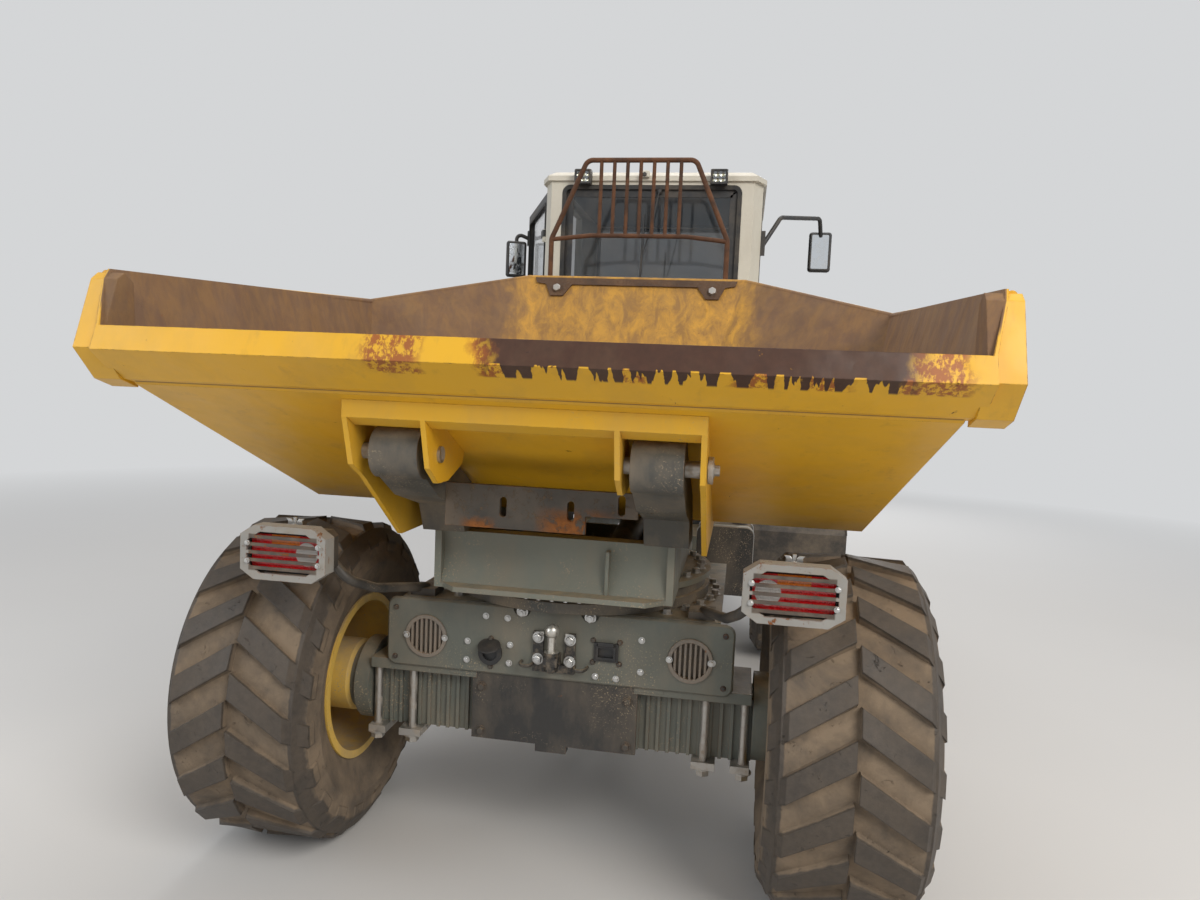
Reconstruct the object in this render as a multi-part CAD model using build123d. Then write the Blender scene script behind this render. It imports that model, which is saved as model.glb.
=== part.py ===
from build123d import *
import math
import os

os.makedirs("parts", exist_ok=True)

# Articulated site dumper with a swivelling skip. Millimetres, X to the right when facing the hood end,
# Y from the skip end towards the hood, Z up. The origin is on the ground, midway along the machine.

# Stations along the machine
OVERALL_LENGTH = 5370.0
TAIL_OVERHANG = 905.0
REAR_AXLE_Y = TAIL_OVERHANG - OVERALL_LENGTH / 2
SWIVEL_Y = REAR_AXLE_Y + 300.0
PIVOT_Y = REAR_AXLE_Y + 1350.0
FRONT_AXLE_Y = REAR_AXLE_Y + 2700.0
CAB_REAR_Y = REAR_AXLE_Y + 2000.0
NOSE_Y = OVERALL_LENGTH / 2
NOSE_REACH = OVERALL_LENGTH - TAIL_OVERHANG

# Fits
SEAT_GAP = 0.3
BORE_CLEARANCE = 0.3
RUNNING_GAP = 5.0

# Wheels
TYRE_RADIUS = 585.0
TYRE_WIDTH = 500.0
TREAD_HALF_WIDTH = 232.0
TREAD_DEPTH = 30.0
LUGS_PER_SIDE = 20
LUG_START = 6.0
LUG_TOP_ANGLE = 4.0
LUG_FOOT_ANGLE = 4.7
TRACK = 1936.0
AXLE_Z = TYRE_RADIUS
RIM_RADIUS = 286.0
RIM_FLANGE_RADIUS = 305.0
RIM_HALF_WIDTH = 206.0
RIM_WALL = 9.0
DISC_OFFSET = 30.0
DISC_THICKNESS = 16.0
HUB_RADIUS = 132.0
HUB_INNER = 200.0
HUB_OUTER = 150.0

# Axles
AXLE_TUBE_RADIUS = 82.0
AXLE_DIFF_RADIUS = 122.0
CASTING_INNER_X = 285.0
CASTING_HALF_DEPTH = 84.0
CASTING_BOTTOM_Z = 453.3
FIN_PITCH = 36.0
FIN_THICKNESS = 12.0
FIN_PROUD = 11.0
AXLE_BRAKE_RADIUS = 150.0
AXLE_BRAKE_WIDTH = 84.0
CLAMP_STUD_X = (525.0, 657.0)
CLAMP_STUD_Y = 112.0
CLAMP_STUD_RADIUS = 14.0
CLAMP_BAR = (80.0, 26.0)
GUARD_HALF_WIDTH = 293.0
GUARD_BOTTOM_Z = 452.0
GUARD_PLATE = 12.0

# Rear chassis
RAIL_INNER_X = 280.0
RAIL_OUTER_X = 380.0
RAIL_BOTTOM_Z = 675.0
RAIL_TOP_Z = 915.0
REAR_RAIL_END = 550.0
DECK_THICKNESS = 25.0
DECK_HALF_WIDTH = 560.0
DECK_REACH = 830.0
SEAT_HALF_WIDTH = 676.0
SEAT_TOP_Z = 705.0
NECK_START = 440.0
NECK_END = 1100.0
NECK_HALF_WIDTHS = (265.0, 150.0)
YOKE_PLATE = 28.0
YOKE_RADIUS = 125.0
PIVOT_PIN_RADIUS = 42.0
PIVOT_HUB_RADIUS = 92.0
PIVOT_HUB_BOTTOM = 600.0
PIVOT_HUB_TOP = 895.0

# Bumper plate and what it carries
BUMPER_HALF_WIDTH = 612.0
BUMPER_BOTTOM_Z = 691.0
BUMPER_TOP_Z = 937.0
BUMPER_THICKNESS = 12.0
BUMPER_FACE = -153.0
BUMPER_CORNER = 34.0
GRILLE_X = 466.0
GRILLE_Z = 805.0
GRILLE_RADIUS = 76.0
GRILLE_RING = 13.0
GRILLE_PITCH = 17.0
ROUND_SOCKET = (-228.0, 768.0)
SQUARE_SOCKET = (180.0, 808.0)
BALL_RADIUS = 25.0

# Slewing ring
RING_RADIUS = 500.0
RING_BORE = 400.0
RING_RACE = 36.0
SWIVEL_BASE = 22.0

# Swivel frame
SWIVEL_HALF_WIDTH = 405.0
SWIVEL_SIDE = 24.0
SWIVEL_TAIL = -255.0
SWIVEL_FRONT = 780.0
SWIVEL_FRONT_HEIGHT = 80.0
SWIVEL_TOP_Z = 1205.0
FLANGE_HALF_WIDTH = 320.0

# Tip hinge, from the rear axle
HINGE_OFFSET = -620.0
HINGE_Y = REAR_AXLE_Y + HINGE_OFFSET
HINGE_Z = 1497.0
HINGE_PIN_RADIUS = 24.0
LUG_X = 375.0
LUG_WIDTH = 146.0
LUG_RADIUS = 75.0

# Skip
SKIP_WALL = 9.0
FLOOR_Z = 1240.0
FLOOR_START = 120.0
FLOOR_END = 1060.0
FLOOR_HALF_WIDTH = 1030.0
FLOOR_CORNER = 560.0
SIDE_TOP_HALF_WIDTH = 1216.0
SIDE_TOP_Z = 2075.0
SIDE_CORNER = 950.0
HEADBOARD_Y = 1500.0
HEADBOARD_TOP_Z = 2275.0
HEADBOARD_HALF_WIDTH = 570.0
TAIL_Y = -800.0
TAIL_TOP_Z = 1980.0
LIP_Y = -880.0
LIP_TOP_Z = 1822.0
FOLD_Z = 1756.0
BAND_BOTTOM_Z = 1677.0
TAIL_FLANGE = 34.0
RIM_BAR_RADIUS = 14.0
RIM_DROP = 8.0
RIB_PLATE = 16.0
RIB_OUTER_X = 500.0
RIB_INNER_X = 270.0
RIB_FOOT_Z = 1200.0

# Tip cylinders, from the rear axle
TIP_CYLINDER_X = 170.0
TIP_FOOT = (0.0, 1100.0)
TIP_HEAD = (980.0, 1180.0)
TIP_BARREL_RADIUS = 52.0
TIP_ROD_RADIUS = 27.0
TIP_BARREL_LENGTH = 880.0
TIP_EYE_RADIUS = 36.0
TIP_EYE_WIDTH = 50.0
TIP_FOOT_PIN_RADIUS = 18.0

# Steering cylinders, from the articulation pin
STEER_FOOT = (360.0, -730.0)
STEER_HEAD = (233.0, 233.0)
STEER_Z = 748.0
STEER_BARREL_RADIUS = 40.0
STEER_ROD_RADIUS = 19.0
STEER_EYE_RADIUS = 33.0
STEER_EYE_HEIGHT = 50.0
STEER_BARREL_LENGTH = 490.0
STEER_PIN_RADIUS = 16.0

# Front chassis
FRONT_RAIL_START = 1700.0
FRONT_BUMPER_DEPTH = 115.0
FRONT_RAIL_END = NOSE_REACH - FRONT_BUMPER_DEPTH
CROSS_PLATE = 30.0
TONGUE_HALF_WIDTH = 88.0
FRONT_BUMPER_LOW = 620.0
FRONT_BUMPER_HIGH = 1035.0
LAMP_PROUD = 20.0
JAW_Z = 780.0
JAW_GAP = 80.0
JAW_PIN_RADIUS = 16.0

# Cab
CAB_FLOOR_Z = 1080.0
WINDOW_TOP_Z = 2868.0
CAB_WALL_TOP_Z = WINDOW_TOP_Z + 24.0
CAB_ROOF_Z = CAB_WALL_TOP_Z + 58.0
CAB_FRONT = 1350.0
CAB_REAR_HALF_WIDTH = 588.0
CAB_HALF_WIDTH = 640.0
CAB_FRONT_HALF_WIDTH = 600.0
CAB_WALL = 45.0
CAB_FLOOR_THICKNESS = 30.0
SILL_Z = 1480.0
REAR_WINDOW_MARGIN = 70.0
FRONT_WINDOW_MARGIN = 60.0
GLASS = 6.0
DOOR_START = 135.0
DOOR_END = 990.0
DOOR_BOTTOM_Z = 1262.0
DOOR_GAP = 6.0
DOOR_THICKNESS = 34.0
DOOR_FRAME = 52.0
DOOR_PANEL = 215.0
DOOR_AJAR = 22.0

# Hood
HOOD_START = 3420.0
HOOD_END = NOSE_REACH - 125.0
HOOD_BOTTOM_Z = 1060.0
HOOD_REAR_Z = 1790.0
HOOD_FRONT_Z = 1570.0
HOOD_HALF_WIDTH = 520.0
HOOD_WALL = 14.0
HOOD_SHOULDER = 60.0
HOOD_HINGE = (3400.0, 1770.0)
HOOD_PIN_RADIUS = 10.0
HOOD_POST_X = 360.0
HOOD_POST_WIDTH = 20.0

# Engine and exhaust
ENGINE_START = HOOD_START + 60.0
ENGINE_END = HOOD_END - 160.0
ENGINE_HALF_WIDTH = 250.0
ENGINE_TOP_Z = 1400.0
ENGINE_FOOT = (760.0, 830.0, 80.0)
SILENCER_RADIUS = 56.0
SILENCER_TOP_Z = 1700.0
EXHAUST_RADIUS = 34.0
EXHAUST_TOP_Z = 2150.0
EXHAUST_GAP = 9.0
EXHAUST_SETBACK = 80.0

# Guard rack over the headboard
RACK_BAR = 13.0
RACK_HALF_WIDTH = 466.0
RACK_KNEE_Z = 2480.0
RACK_TOP_Z = 2890.0
RACK_TOP_HALF_WIDTH = 286.0
RACK_BEND = 45.0
RACK_RAIL_HALF_WIDTH = 250.0
RACK_RAIL_RISE = 20.0
RACK_RAIL_BEND = 200.0
RACK_PITCH = 70.0
RACK_STANDOFF = 32.0

# Fenders, over the front wheels
FENDER_TOP_Z = 1250.0
FENDER_REACH = 655.0
FENDER_SKIN = 8.0
FENDER_EDGE = 40.0


def at(offset):
    """Y of a station given from the rear axle."""
    return REAR_AXLE_Y + offset


def prism(axis, points, low, high):
    """A flat outline pushed along one axis. The points are in the other two axes, in X, Y, Z order."""
    place = {
        "x": lambda a, b: Vector(low, a, b),
        "y": lambda a, b: Vector(a, low, b),
        "z": lambda a, b: Vector(a, b, low),
    }[axis]
    way = {"x": Vector(1, 0, 0), "y": Vector(0, 1, 0), "z": Vector(0, 0, 1)}[axis]
    outline = Wire.make_polygon([place(a, b) for a, b in points], close=True)
    return Solid.extrude(Face(outline), way * (high - low))


def block(x0, x1, y0, y1, z0, z1):
    """A box by its corners."""
    return Solid.make_box(x1 - x0, y1 - y0, z1 - z0, Plane(origin=(x0, y0, z0)))


def rod(start, end, radius):
    """A round bar between two points."""
    start, end = Vector(*start), Vector(*end)
    way = end - start
    return Solid.make_cylinder(radius, way.length, Plane(origin=start, z_dir=way))


def turned(axis, centre, points):
    """A closed outline of (along, radius) points turned about a line through centre."""
    along = {"x": Vector(1, 0, 0), "y": Vector(0, 1, 0), "z": Vector(0, 0, 1)}[axis]
    out = Vector(0, 0, 1) if axis != "z" else Vector(1, 0, 0)
    centre = Vector(*centre)
    outline = Wire.make_polygon([centre + along * a + out * r for a, r in points], close=True)
    return Solid.revolve(Face(outline), 360, Axis(centre, along))


def bent_bar(points, radius, bend):
    """A round bar along straight runs with equal bends."""
    path = FilletPolyline(*[Vector(*p) for p in points], radius=bend)
    start = Plane(origin=path @ 0, z_dir=path % 0)
    return sweep(start * Circle(radius), path=path).solid()


def mirrored(shape):
    """The same piece on the other side of the machine."""
    return shape.mirror(Plane.YZ)


def pair(shape):
    return [shape, mirrored(shape)]


def joined(*shapes):
    """Pieces welded into one."""
    flat = []
    for shape in shapes:
        flat.extend(shape if isinstance(shape, (list, tuple)) else [shape])
    return flat[0].fuse(*flat[1:]).clean() if len(flat) > 1 else flat[0]


def write(name, *shapes):
    """One node, with every solid of the given shapes."""
    solids = [solid for shape in shapes for solid in shape.solids()]
    export_step(Compound(children=solids), f"parts/{name}.step")


def ring(centre, outer, inner, z0, z1):
    body = rod((centre[0], centre[1], z0), (centre[0], centre[1], z1), outer)
    return body - rod((centre[0], centre[1], z0 - 1), (centre[0], centre[1], z1 + 1), inner)


# Rear chassis

RING_FOOT_Z = RAIL_TOP_Z + DECK_THICKNESS
AXLE_SEAT_Z = AXLE_Z + AXLE_TUBE_RADIUS + SEAT_GAP
YOKE_LOW_Z = PIVOT_HUB_BOTTOM - RUNNING_GAP
YOKE_HIGH_Z = PIVOT_HUB_TOP + RUNNING_GAP


def rear_chassis():
    inside_bumper = at(BUMPER_FACE + BUMPER_THICKNESS)
    rails = pair(block(RAIL_INNER_X, RAIL_OUTER_X, inside_bumper, at(REAR_RAIL_END), RAIL_BOTTOM_Z, RAIL_TOP_Z))
    deck = block(-DECK_HALF_WIDTH, DECK_HALF_WIDTH, inside_bumper, at(DECK_REACH), RAIL_TOP_Z, RING_FOOT_Z)
    hole = rod((0, SWIVEL_Y, RAIL_TOP_Z - 1), (0, SWIVEL_Y, RING_FOOT_Z + 1), RING_BORE - 150)
    seat = pair(block(RAIL_INNER_X, SEAT_HALF_WIDTH, at(-CLAMP_STUD_Y - 28), at(CLAMP_STUD_Y + 28),
                      AXLE_SEAT_Z, SEAT_TOP_Z))
    webs = [block(x, x + 14, at(-126), at(126), SEAT_TOP_Z, RAIL_TOP_Z) for x in (440, 540)]
    wide, narrow = NECK_HALF_WIDTHS
    neck_plan = [(-wide, at(NECK_START)), (wide, at(NECK_START)), (narrow, at(NECK_END)), (-narrow, at(NECK_END))]
    neck = prism("z", neck_plan, YOKE_LOW_Z, YOKE_HIGH_Z)
    cross = block(-RAIL_OUTER_X, RAIL_OUTER_X, at(REAR_RAIL_END - 60), at(REAR_RAIL_END), RAIL_BOTTOM_Z, RAIL_TOP_Z)
    yokes = []
    for z in (YOKE_LOW_Z - YOKE_PLATE, YOKE_HIGH_Z):
        arm = prism("z", [(-narrow - 20, at(NECK_END - 260)), (narrow + 20, at(NECK_END - 260)),
                          (YOKE_RADIUS, PIVOT_Y), (-YOKE_RADIUS, PIVOT_Y)], z, z + YOKE_PLATE)
        yokes += [arm, rod((0, PIVOT_Y, z), (0, PIVOT_Y, z + YOKE_PLATE), YOKE_RADIUS)]
    pin = rod((0, PIVOT_Y, YOKE_LOW_Z - YOKE_PLATE - 14), (0, PIVOT_Y, YOKE_HIGH_Z + YOKE_PLATE + 14), PIVOT_PIN_RADIUS)
    body = joined(rails, deck, seat, webs, [mirrored(w) for w in webs], neck, cross, yokes, pin) - hole
    ears = []
    foot_x, foot_y = STEER_FOOT[0], PIVOT_Y + STEER_FOOT[1]
    for z in (STEER_Z - STEER_EYE_HEIGHT / 2 - 21, STEER_Z + STEER_EYE_HEIGHT / 2 + 3):
        ears.append(block(200, foot_x + 34, foot_y - 44, foot_y + 20, z, z + 18))
    steer_pin = rod((foot_x, foot_y, STEER_Z - 50), (foot_x, foot_y, STEER_Z + 50), STEER_PIN_RADIUS)
    return joined(body, *[pair(e) for e in ears], pair(steer_pin))


def bumper_plate():
    y0, y1 = at(BUMPER_FACE), at(BUMPER_FACE + BUMPER_THICKNESS)
    plate = block(-BUMPER_HALF_WIDTH, BUMPER_HALF_WIDTH, y0, y1, BUMPER_BOTTOM_Z, BUMPER_TOP_Z)
    plate = plate.fillet(BUMPER_CORNER, plate.edges().filter_by(Axis.Y))
    plate = plate.chamfer(BUMPER_THICKNESS / 2, None, plate.faces().sort_by(Axis.Y)[0].edges())
    for x, z, r in ((-GRILLE_X, GRILLE_Z, GRILLE_RADIUS), (GRILLE_X, GRILLE_Z, GRILLE_RADIUS),
                    (*ROUND_SOCKET, 36.0)):
        plate -= rod((x, y0 - 1, z), (x, y1 + 1, z), r)
    x, z = SQUARE_SOCKET
    plate -= block(x - 36, x + 36, y0 - 1, y1 + 1, z - 26, z + 26)
    for x in (-120, 120):
        plate -= rod((x, y0 - 1, BUMPER_TOP_Z), (x, y1 + 1, BUMPER_TOP_Z), 32)
    return plate


def bumper_grille(x):
    """A round louvre of upright bars in a closed cup, set in the bumper plate's hole, with a screw each side."""
    y0, y1, back = at(BUMPER_FACE - 6), at(BUMPER_FACE + 8), at(BUMPER_FACE + 24)
    cup = rod((x, y0, GRILLE_Z), (x, back, GRILLE_Z), GRILLE_RADIUS)
    cup -= rod((x, y0 - 1, GRILLE_Z), (x, back - 4, GRILLE_Z), GRILLE_RADIUS - GRILLE_RING)
    bars = []
    for i in range(-3, 4):
        offset = i * GRILLE_PITCH
        reach = math.sqrt((GRILLE_RADIUS - GRILLE_RING + 2) ** 2 - offset ** 2)
        bars.append(block(x + offset - 4, x + offset + 4, y0 + 2, y1 - 2, GRILLE_Z - reach, GRILLE_Z + reach))
    screws = [rod((x + s * (GRILLE_RADIUS - GRILLE_RING / 2), y0 - 7, GRILLE_Z),
                  (x + s * (GRILLE_RADIUS - GRILLE_RING / 2), y0, GRILLE_Z), GRILLE_RING * 0.6) for s in (-1, 1)]
    return joined(cup, bars, screws)


def tow_hitch():
    """A 50 mm ball on its stem and bracket, between two upright straps."""
    face = at(BUMPER_FACE)
    stem_y = face - 52
    straps = pair(block(38, 74, face - 12, face, 722, 862))
    foot = block(-74, 74, face - 12, face, 722, 750)
    arm = block(-24, 24, stem_y - 22, face, 762, 792)
    web = block(-24, 24, face - 12, face, 722, 792)
    stem = rod((0, stem_y, 738), (0, stem_y, 872), 14)
    collar = rod((0, stem_y, 792), (0, stem_y, 808), 26)
    ball = Solid.make_sphere(BALL_RADIUS, Plane(origin=(0, stem_y, 880)))
    nut = rod((0, stem_y, 744), (0, stem_y, 762), 24)
    return joined(arm, web, foot, straps, stem, collar, ball, nut)


def trailer_sockets():
    y0, y1 = at(BUMPER_FACE - 14), at(BUMPER_FACE + 40)
    x, z = ROUND_SOCKET
    round_one = joined(rod((x, y0, z), (x, y1, z), 34), rod((x, y0, z), (x, at(BUMPER_FACE), z), 42))
    round_one -= rod((x, y0 - 1, z), (x, y0 + 12, z), 26)
    x, z = SQUARE_SOCKET
    square = joined(block(x - 34, x + 34, y0, y1, z - 24, z + 24),
                    block(x - 42, x + 42, y0 + 6, at(BUMPER_FACE), z - 32, z + 32))
    square -= block(x - 26, x + 26, y0 - 1, y0 + 12, z - 16, z + 16)
    return [round_one, square]


def axle_end():
    """X of the axle's end face, against the wheel hub."""
    return TRACK / 2 - HUB_INNER - SEAT_GAP


def axle(y, nose_way):
    """A driven axle: tube, differential bulge and brake drums, with its input nose."""
    end = axle_end()
    half = [(0, AXLE_DIFF_RADIUS), (150, AXLE_DIFF_RADIUS - 6), (215, AXLE_TUBE_RADIUS + 10), (260, AXLE_TUBE_RADIUS),
            (end - AXLE_BRAKE_WIDTH - 2, AXLE_TUBE_RADIUS), (end - AXLE_BRAKE_WIDTH, AXLE_BRAKE_RADIUS),
            (end - 30, AXLE_BRAKE_RADIUS), (end - 20, AXLE_BRAKE_RADIUS - 30), (end, AXLE_BRAKE_RADIUS - 30)]
    outline = [(-end, 0)] + [(-a, r) for a, r in reversed(half)][:-1] + half + [(end, 0)]
    housing = turned("x", (0, y, AXLE_Z), outline)
    nose = rod((0, y, AXLE_Z - 10), (0, y + nose_way * 330, AXLE_Z - 30), 78)
    return joined(housing, nose, pair(ribbed_casting(y)))


def ribbed_casting(y):
    """The square housing between differential and brake, with upright cooling fins front and back."""
    x0, x1 = CASTING_INNER_X, axle_end() - AXLE_BRAKE_WIDTH + 1
    low, high = CASTING_BOTTOM_Z, AXLE_SEAT_Z - SEAT_GAP
    core = block(x0, x1, y - CASTING_HALF_DEPTH, y + CASTING_HALF_DEPTH, low, high)
    reach = CASTING_HALF_DEPTH + FIN_PROUD
    count = int((x1 - x0 - FIN_THICKNESS) // FIN_PITCH) + 1
    fins = [block(x0 + i * FIN_PITCH, x0 + i * FIN_PITCH + FIN_THICKNESS, y - reach, y + reach, low, high)
            for i in range(count)]
    return joined(core, fins)


def axle_clamps():
    """Two flat bars under each side of the rear axle, each drawn up to the chassis by two studs."""
    parts = []
    width, thick = CLAMP_BAR
    high = CASTING_BOTTOM_Z - SEAT_GAP
    drum = axle_end() - AXLE_BRAKE_WIDTH - 2
    for stud_x in CLAMP_STUD_X:
        outer = min(stud_x + width / 2, drum - 1)
        bar = block(stud_x - width / 2, outer, at(-CLAMP_STUD_Y - 30), at(CLAMP_STUD_Y + 30), high - thick, high)
        studs = [rod((stud_x, at(y), high - thick - 14), (stud_x, at(y), AXLE_SEAT_Z), CLAMP_STUD_RADIUS)
                 for y in (-CLAMP_STUD_Y, CLAMP_STUD_Y)]
        parts += pair(joined(bar, studs))
    return parts


def axle_guard():
    """A flat plate hung between the rails behind the differential, with a drain block under its middle."""
    y0 = at(BUMPER_FACE + BUMPER_THICKNESS)
    y1 = y0 + GUARD_PLATE
    plate = block(-GUARD_HALF_WIDTH, GUARD_HALF_WIDTH, y0, y1, GUARD_BOTTOM_Z, AXLE_SEAT_Z - SEAT_GAP)
    held = RAIL_INNER_X - SEAT_GAP
    top = block(-held, held, y0, y1, RAIL_BOTTOM_Z - 20, RAIL_BOTTOM_Z + 40)
    drain = block(-60, 50, y0, y0 + 40, GUARD_BOTTOM_Z - 26, GUARD_BOTTOM_Z + 20)
    return joined(plate, top, drain)


LAMP = (760.0, -530.0, 1163.0)
LAMP_SIZE = (250.0, 80.0, 134.0)


def lamp_arm():
    """A bent tube from the deck's corner out and back to the lamp."""
    x, y, z = LAMP
    back = at(y) + LAMP_SIZE[1] / 2
    tube = bent_bar([(DECK_HALF_WIDTH - 60, at(-70), RING_FOOT_Z + 20), (DECK_HALF_WIDTH + 20, at(-330), 1010),
                     (DECK_HALF_WIDTH + 60, back + 40, 1060), (x - 60, back + 40, z - 20)], 16, 60)
    foot = block(DECK_HALF_WIDTH - 110, DECK_HALF_WIDTH - 20, at(-120), at(-30), RING_FOOT_Z, RING_FOOT_Z + 26)
    plate = block(x - 90, x + 90, back, back + 8, z - 50, z + 40)
    stub = block(x - 76, x - 44, back + 8, back + 40, z - 36, z - 4)
    return joined(tube, foot, plate, stub)


def tail_lamp_box():
    x, y, z = LAMP
    w, d, h = LAMP_SIZE
    box = block(x - w / 2, x + w / 2, at(y) - d / 2, at(y) + d / 2, z - h / 2, z + h / 2)
    return box.chamfer(18, None, box.edges().filter_by(Axis.Y))


def tail_lamp_lens():
    x, y, z = LAMP
    w, d, h = LAMP_SIZE
    face = at(y) - d / 2
    lens = block(x - w / 2 + 12, x + w / 2 - 12, face - 14, face, z - h / 2 + 12, z + h / 2 - 12)
    return lens.fillet(20, lens.edges().filter_by(Axis.Y))


def lamp_guard():
    """An eight-sided frame with level bars in front of the lens, and side straps back to the lamp."""
    x, y, z = LAMP
    w, d, h = LAMP_SIZE
    face = at(y) - d / 2
    half_w, half_h, cut_x, cut_z = 140.0, 84.0, 44.0, 30.0

    def octagon(grow):
        a, b = half_w + grow, half_h + grow
        return [(x - a + cut_x, z - b), (x + a - cut_x, z - b), (x + a, z - b + cut_z), (x + a, z + b - cut_z),
                (x + a - cut_x, z + b), (x - a + cut_x, z + b), (x - a, z + b - cut_z), (x - a, z - b + cut_z)]

    front = prism("y", octagon(0), face - 34, face - 26) - prism("y", octagon(-20), face - 40, face - 20)
    skirt = prism("y", octagon(0), face - 34, face + 22) - prism("y", octagon(-4), face - 40, face + 30)
    bars = [block(x - half_w + 10, x + half_w - 10, face - 34, face - 28, z + i * 24 - 5, z + i * 24 + 5)
            for i in range(-2, 3)]
    straps = [block(x + w / 2, x + half_w - 2, face + 6, face + 20, z - 16, z + 16),
              block(x - half_w + 2, x - w / 2, face + 6, face + 20, z - 16, z + 16)]
    return joined(front, skirt, bars, straps)


# Swivel frame

RACE_LOW_TOP = RING_FOOT_Z + RING_RACE
RACE_HIGH_FOOT = RACE_LOW_TOP + SEAT_GAP
BASE_Z = RACE_HIGH_FOOT + RING_RACE


def swivel_frame():
    centre = (0, SWIVEL_Y)
    base = ring(centre, RING_RADIUS + 6, 130, BASE_Z, BASE_Z + SWIVEL_BASE)
    x0, x1 = SWIVEL_HALF_WIDTH - SWIVEL_SIDE, SWIVEL_HALF_WIDTH
    side = prism("x", [(at(SWIVEL_TAIL), BASE_Z), (at(SWIVEL_FRONT), BASE_Z), (at(SWIVEL_FRONT), BASE_Z + SWIVEL_FRONT_HEIGHT),
                       (at(500), SWIVEL_TOP_Z), (at(SWIVEL_TAIL), SWIVEL_TOP_Z)], x0, x1)
    tail_high = SWIVEL_TOP_Z
    tail = block(-x0, x0, at(SWIVEL_TAIL), at(SWIVEL_TAIL + 90), BASE_Z, tail_high)
    hollow = rod((-x0 - 1, at(SWIVEL_TAIL - 230), 1150), (x0 + 1, at(SWIVEL_TAIL - 230), 1150), 262)
    tail -= hollow
    tail -= block(-x0 - 1, x0 + 1, at(SWIVEL_TAIL + 46), at(SWIVEL_TAIL + 91), BASE_Z + 20, tail_high - 20)
    rib = block(180, 192, at(SWIVEL_TAIL - 4), at(SWIVEL_TAIL + 60), BASE_Z + 5, tail_high - 30)
    lip, swept = at(SWIVEL_TAIL - 52), at(SWIVEL_TAIL + 30)
    flange = prism("z", [(-x1, at(SWIVEL_TAIL + 60)), (-x1, swept), (-FLANGE_HALF_WIDTH, lip),
                         (FLANGE_HALF_WIDTH, lip), (x1, swept), (x1, at(SWIVEL_TAIL + 60))], BASE_Z, BASE_Z + 18)
    front = block(-x0, x0, at(SWIVEL_FRONT - 24), at(SWIVEL_FRONT), BASE_Z, BASE_Z + SWIVEL_FRONT_HEIGHT)
    foot_y, foot_z = at(TIP_FOOT[0]), TIP_FOOT[1]
    ears = []
    half = TIP_EYE_WIDTH / 2 + 2
    for x in (TIP_CYLINDER_X - half - 16, TIP_CYLINDER_X + half):
        ears.append(prism("x", [(foot_y - 60, BASE_Z), (foot_y + 60, BASE_Z), (foot_y + 34, foot_z + 34),
                                (foot_y - 34, foot_z + 34)], x, x + 16))
    pin = rod((TIP_CYLINDER_X - half - 24, foot_y, foot_z), (TIP_CYLINDER_X + half + 24, foot_y, foot_z),
              TIP_FOOT_PIN_RADIUS)
    return joined(base, pair(side), tail, rib, flange, front, *[pair(e) for e in ears], pair(pin))


def slotted_plate():
    y0 = at(-450)
    half = LUG_X - LUG_WIDTH / 2
    plate = prism("y", [(-half, 1262), (142, 1262), (142, 1318), (half, 1318), (half, 1396), (-half, 1396)],
                  y0, y0 + 20)
    for x, z in ((-116, 1330), (96, 1330), (252, 1357)):
        slot = block(x - 11, x + 11, y0 - 1, y0 + 21, z - 20, z + 20)
        plate -= joined(slot, rod((x, y0 - 1, z - 20), (x, y0 + 21, z - 20), 11),
                        rod((x, y0 - 1, z + 20), (x, y0 + 21, z + 20), 11))
    return plate


def tip_lug():
    """A lug reaching back from the swivel frame's tail to the tip pin."""
    x0, x1 = LUG_X - LUG_WIDTH / 2, LUG_X + LUG_WIDTH / 2
    foot = SWIVEL_TOP_Z + SEAT_GAP
    body = prism("x", [(HINGE_Y + 60, HINGE_Z + 44), (HINGE_Y - 66, HINGE_Z - 34), (HINGE_Y + 120, HINGE_Z - 143),
                       (HINGE_Y + 320, HINGE_Z - 197), (at(SWIVEL_TAIL), foot), (at(-60), foot),
                       (HINGE_Y + 420, HINGE_Z - 127)], x0, x1)
    eye = rod((x0, HINGE_Y, HINGE_Z), (x1, HINGE_Y, HINGE_Z), LUG_RADIUS)
    bore = rod((x0 - 1, HINGE_Y, HINGE_Z), (x1 + 1, HINGE_Y, HINGE_Z), HINGE_PIN_RADIUS + BORE_CLEARANCE)
    return joined(body, eye) - bore


# Skip

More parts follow.
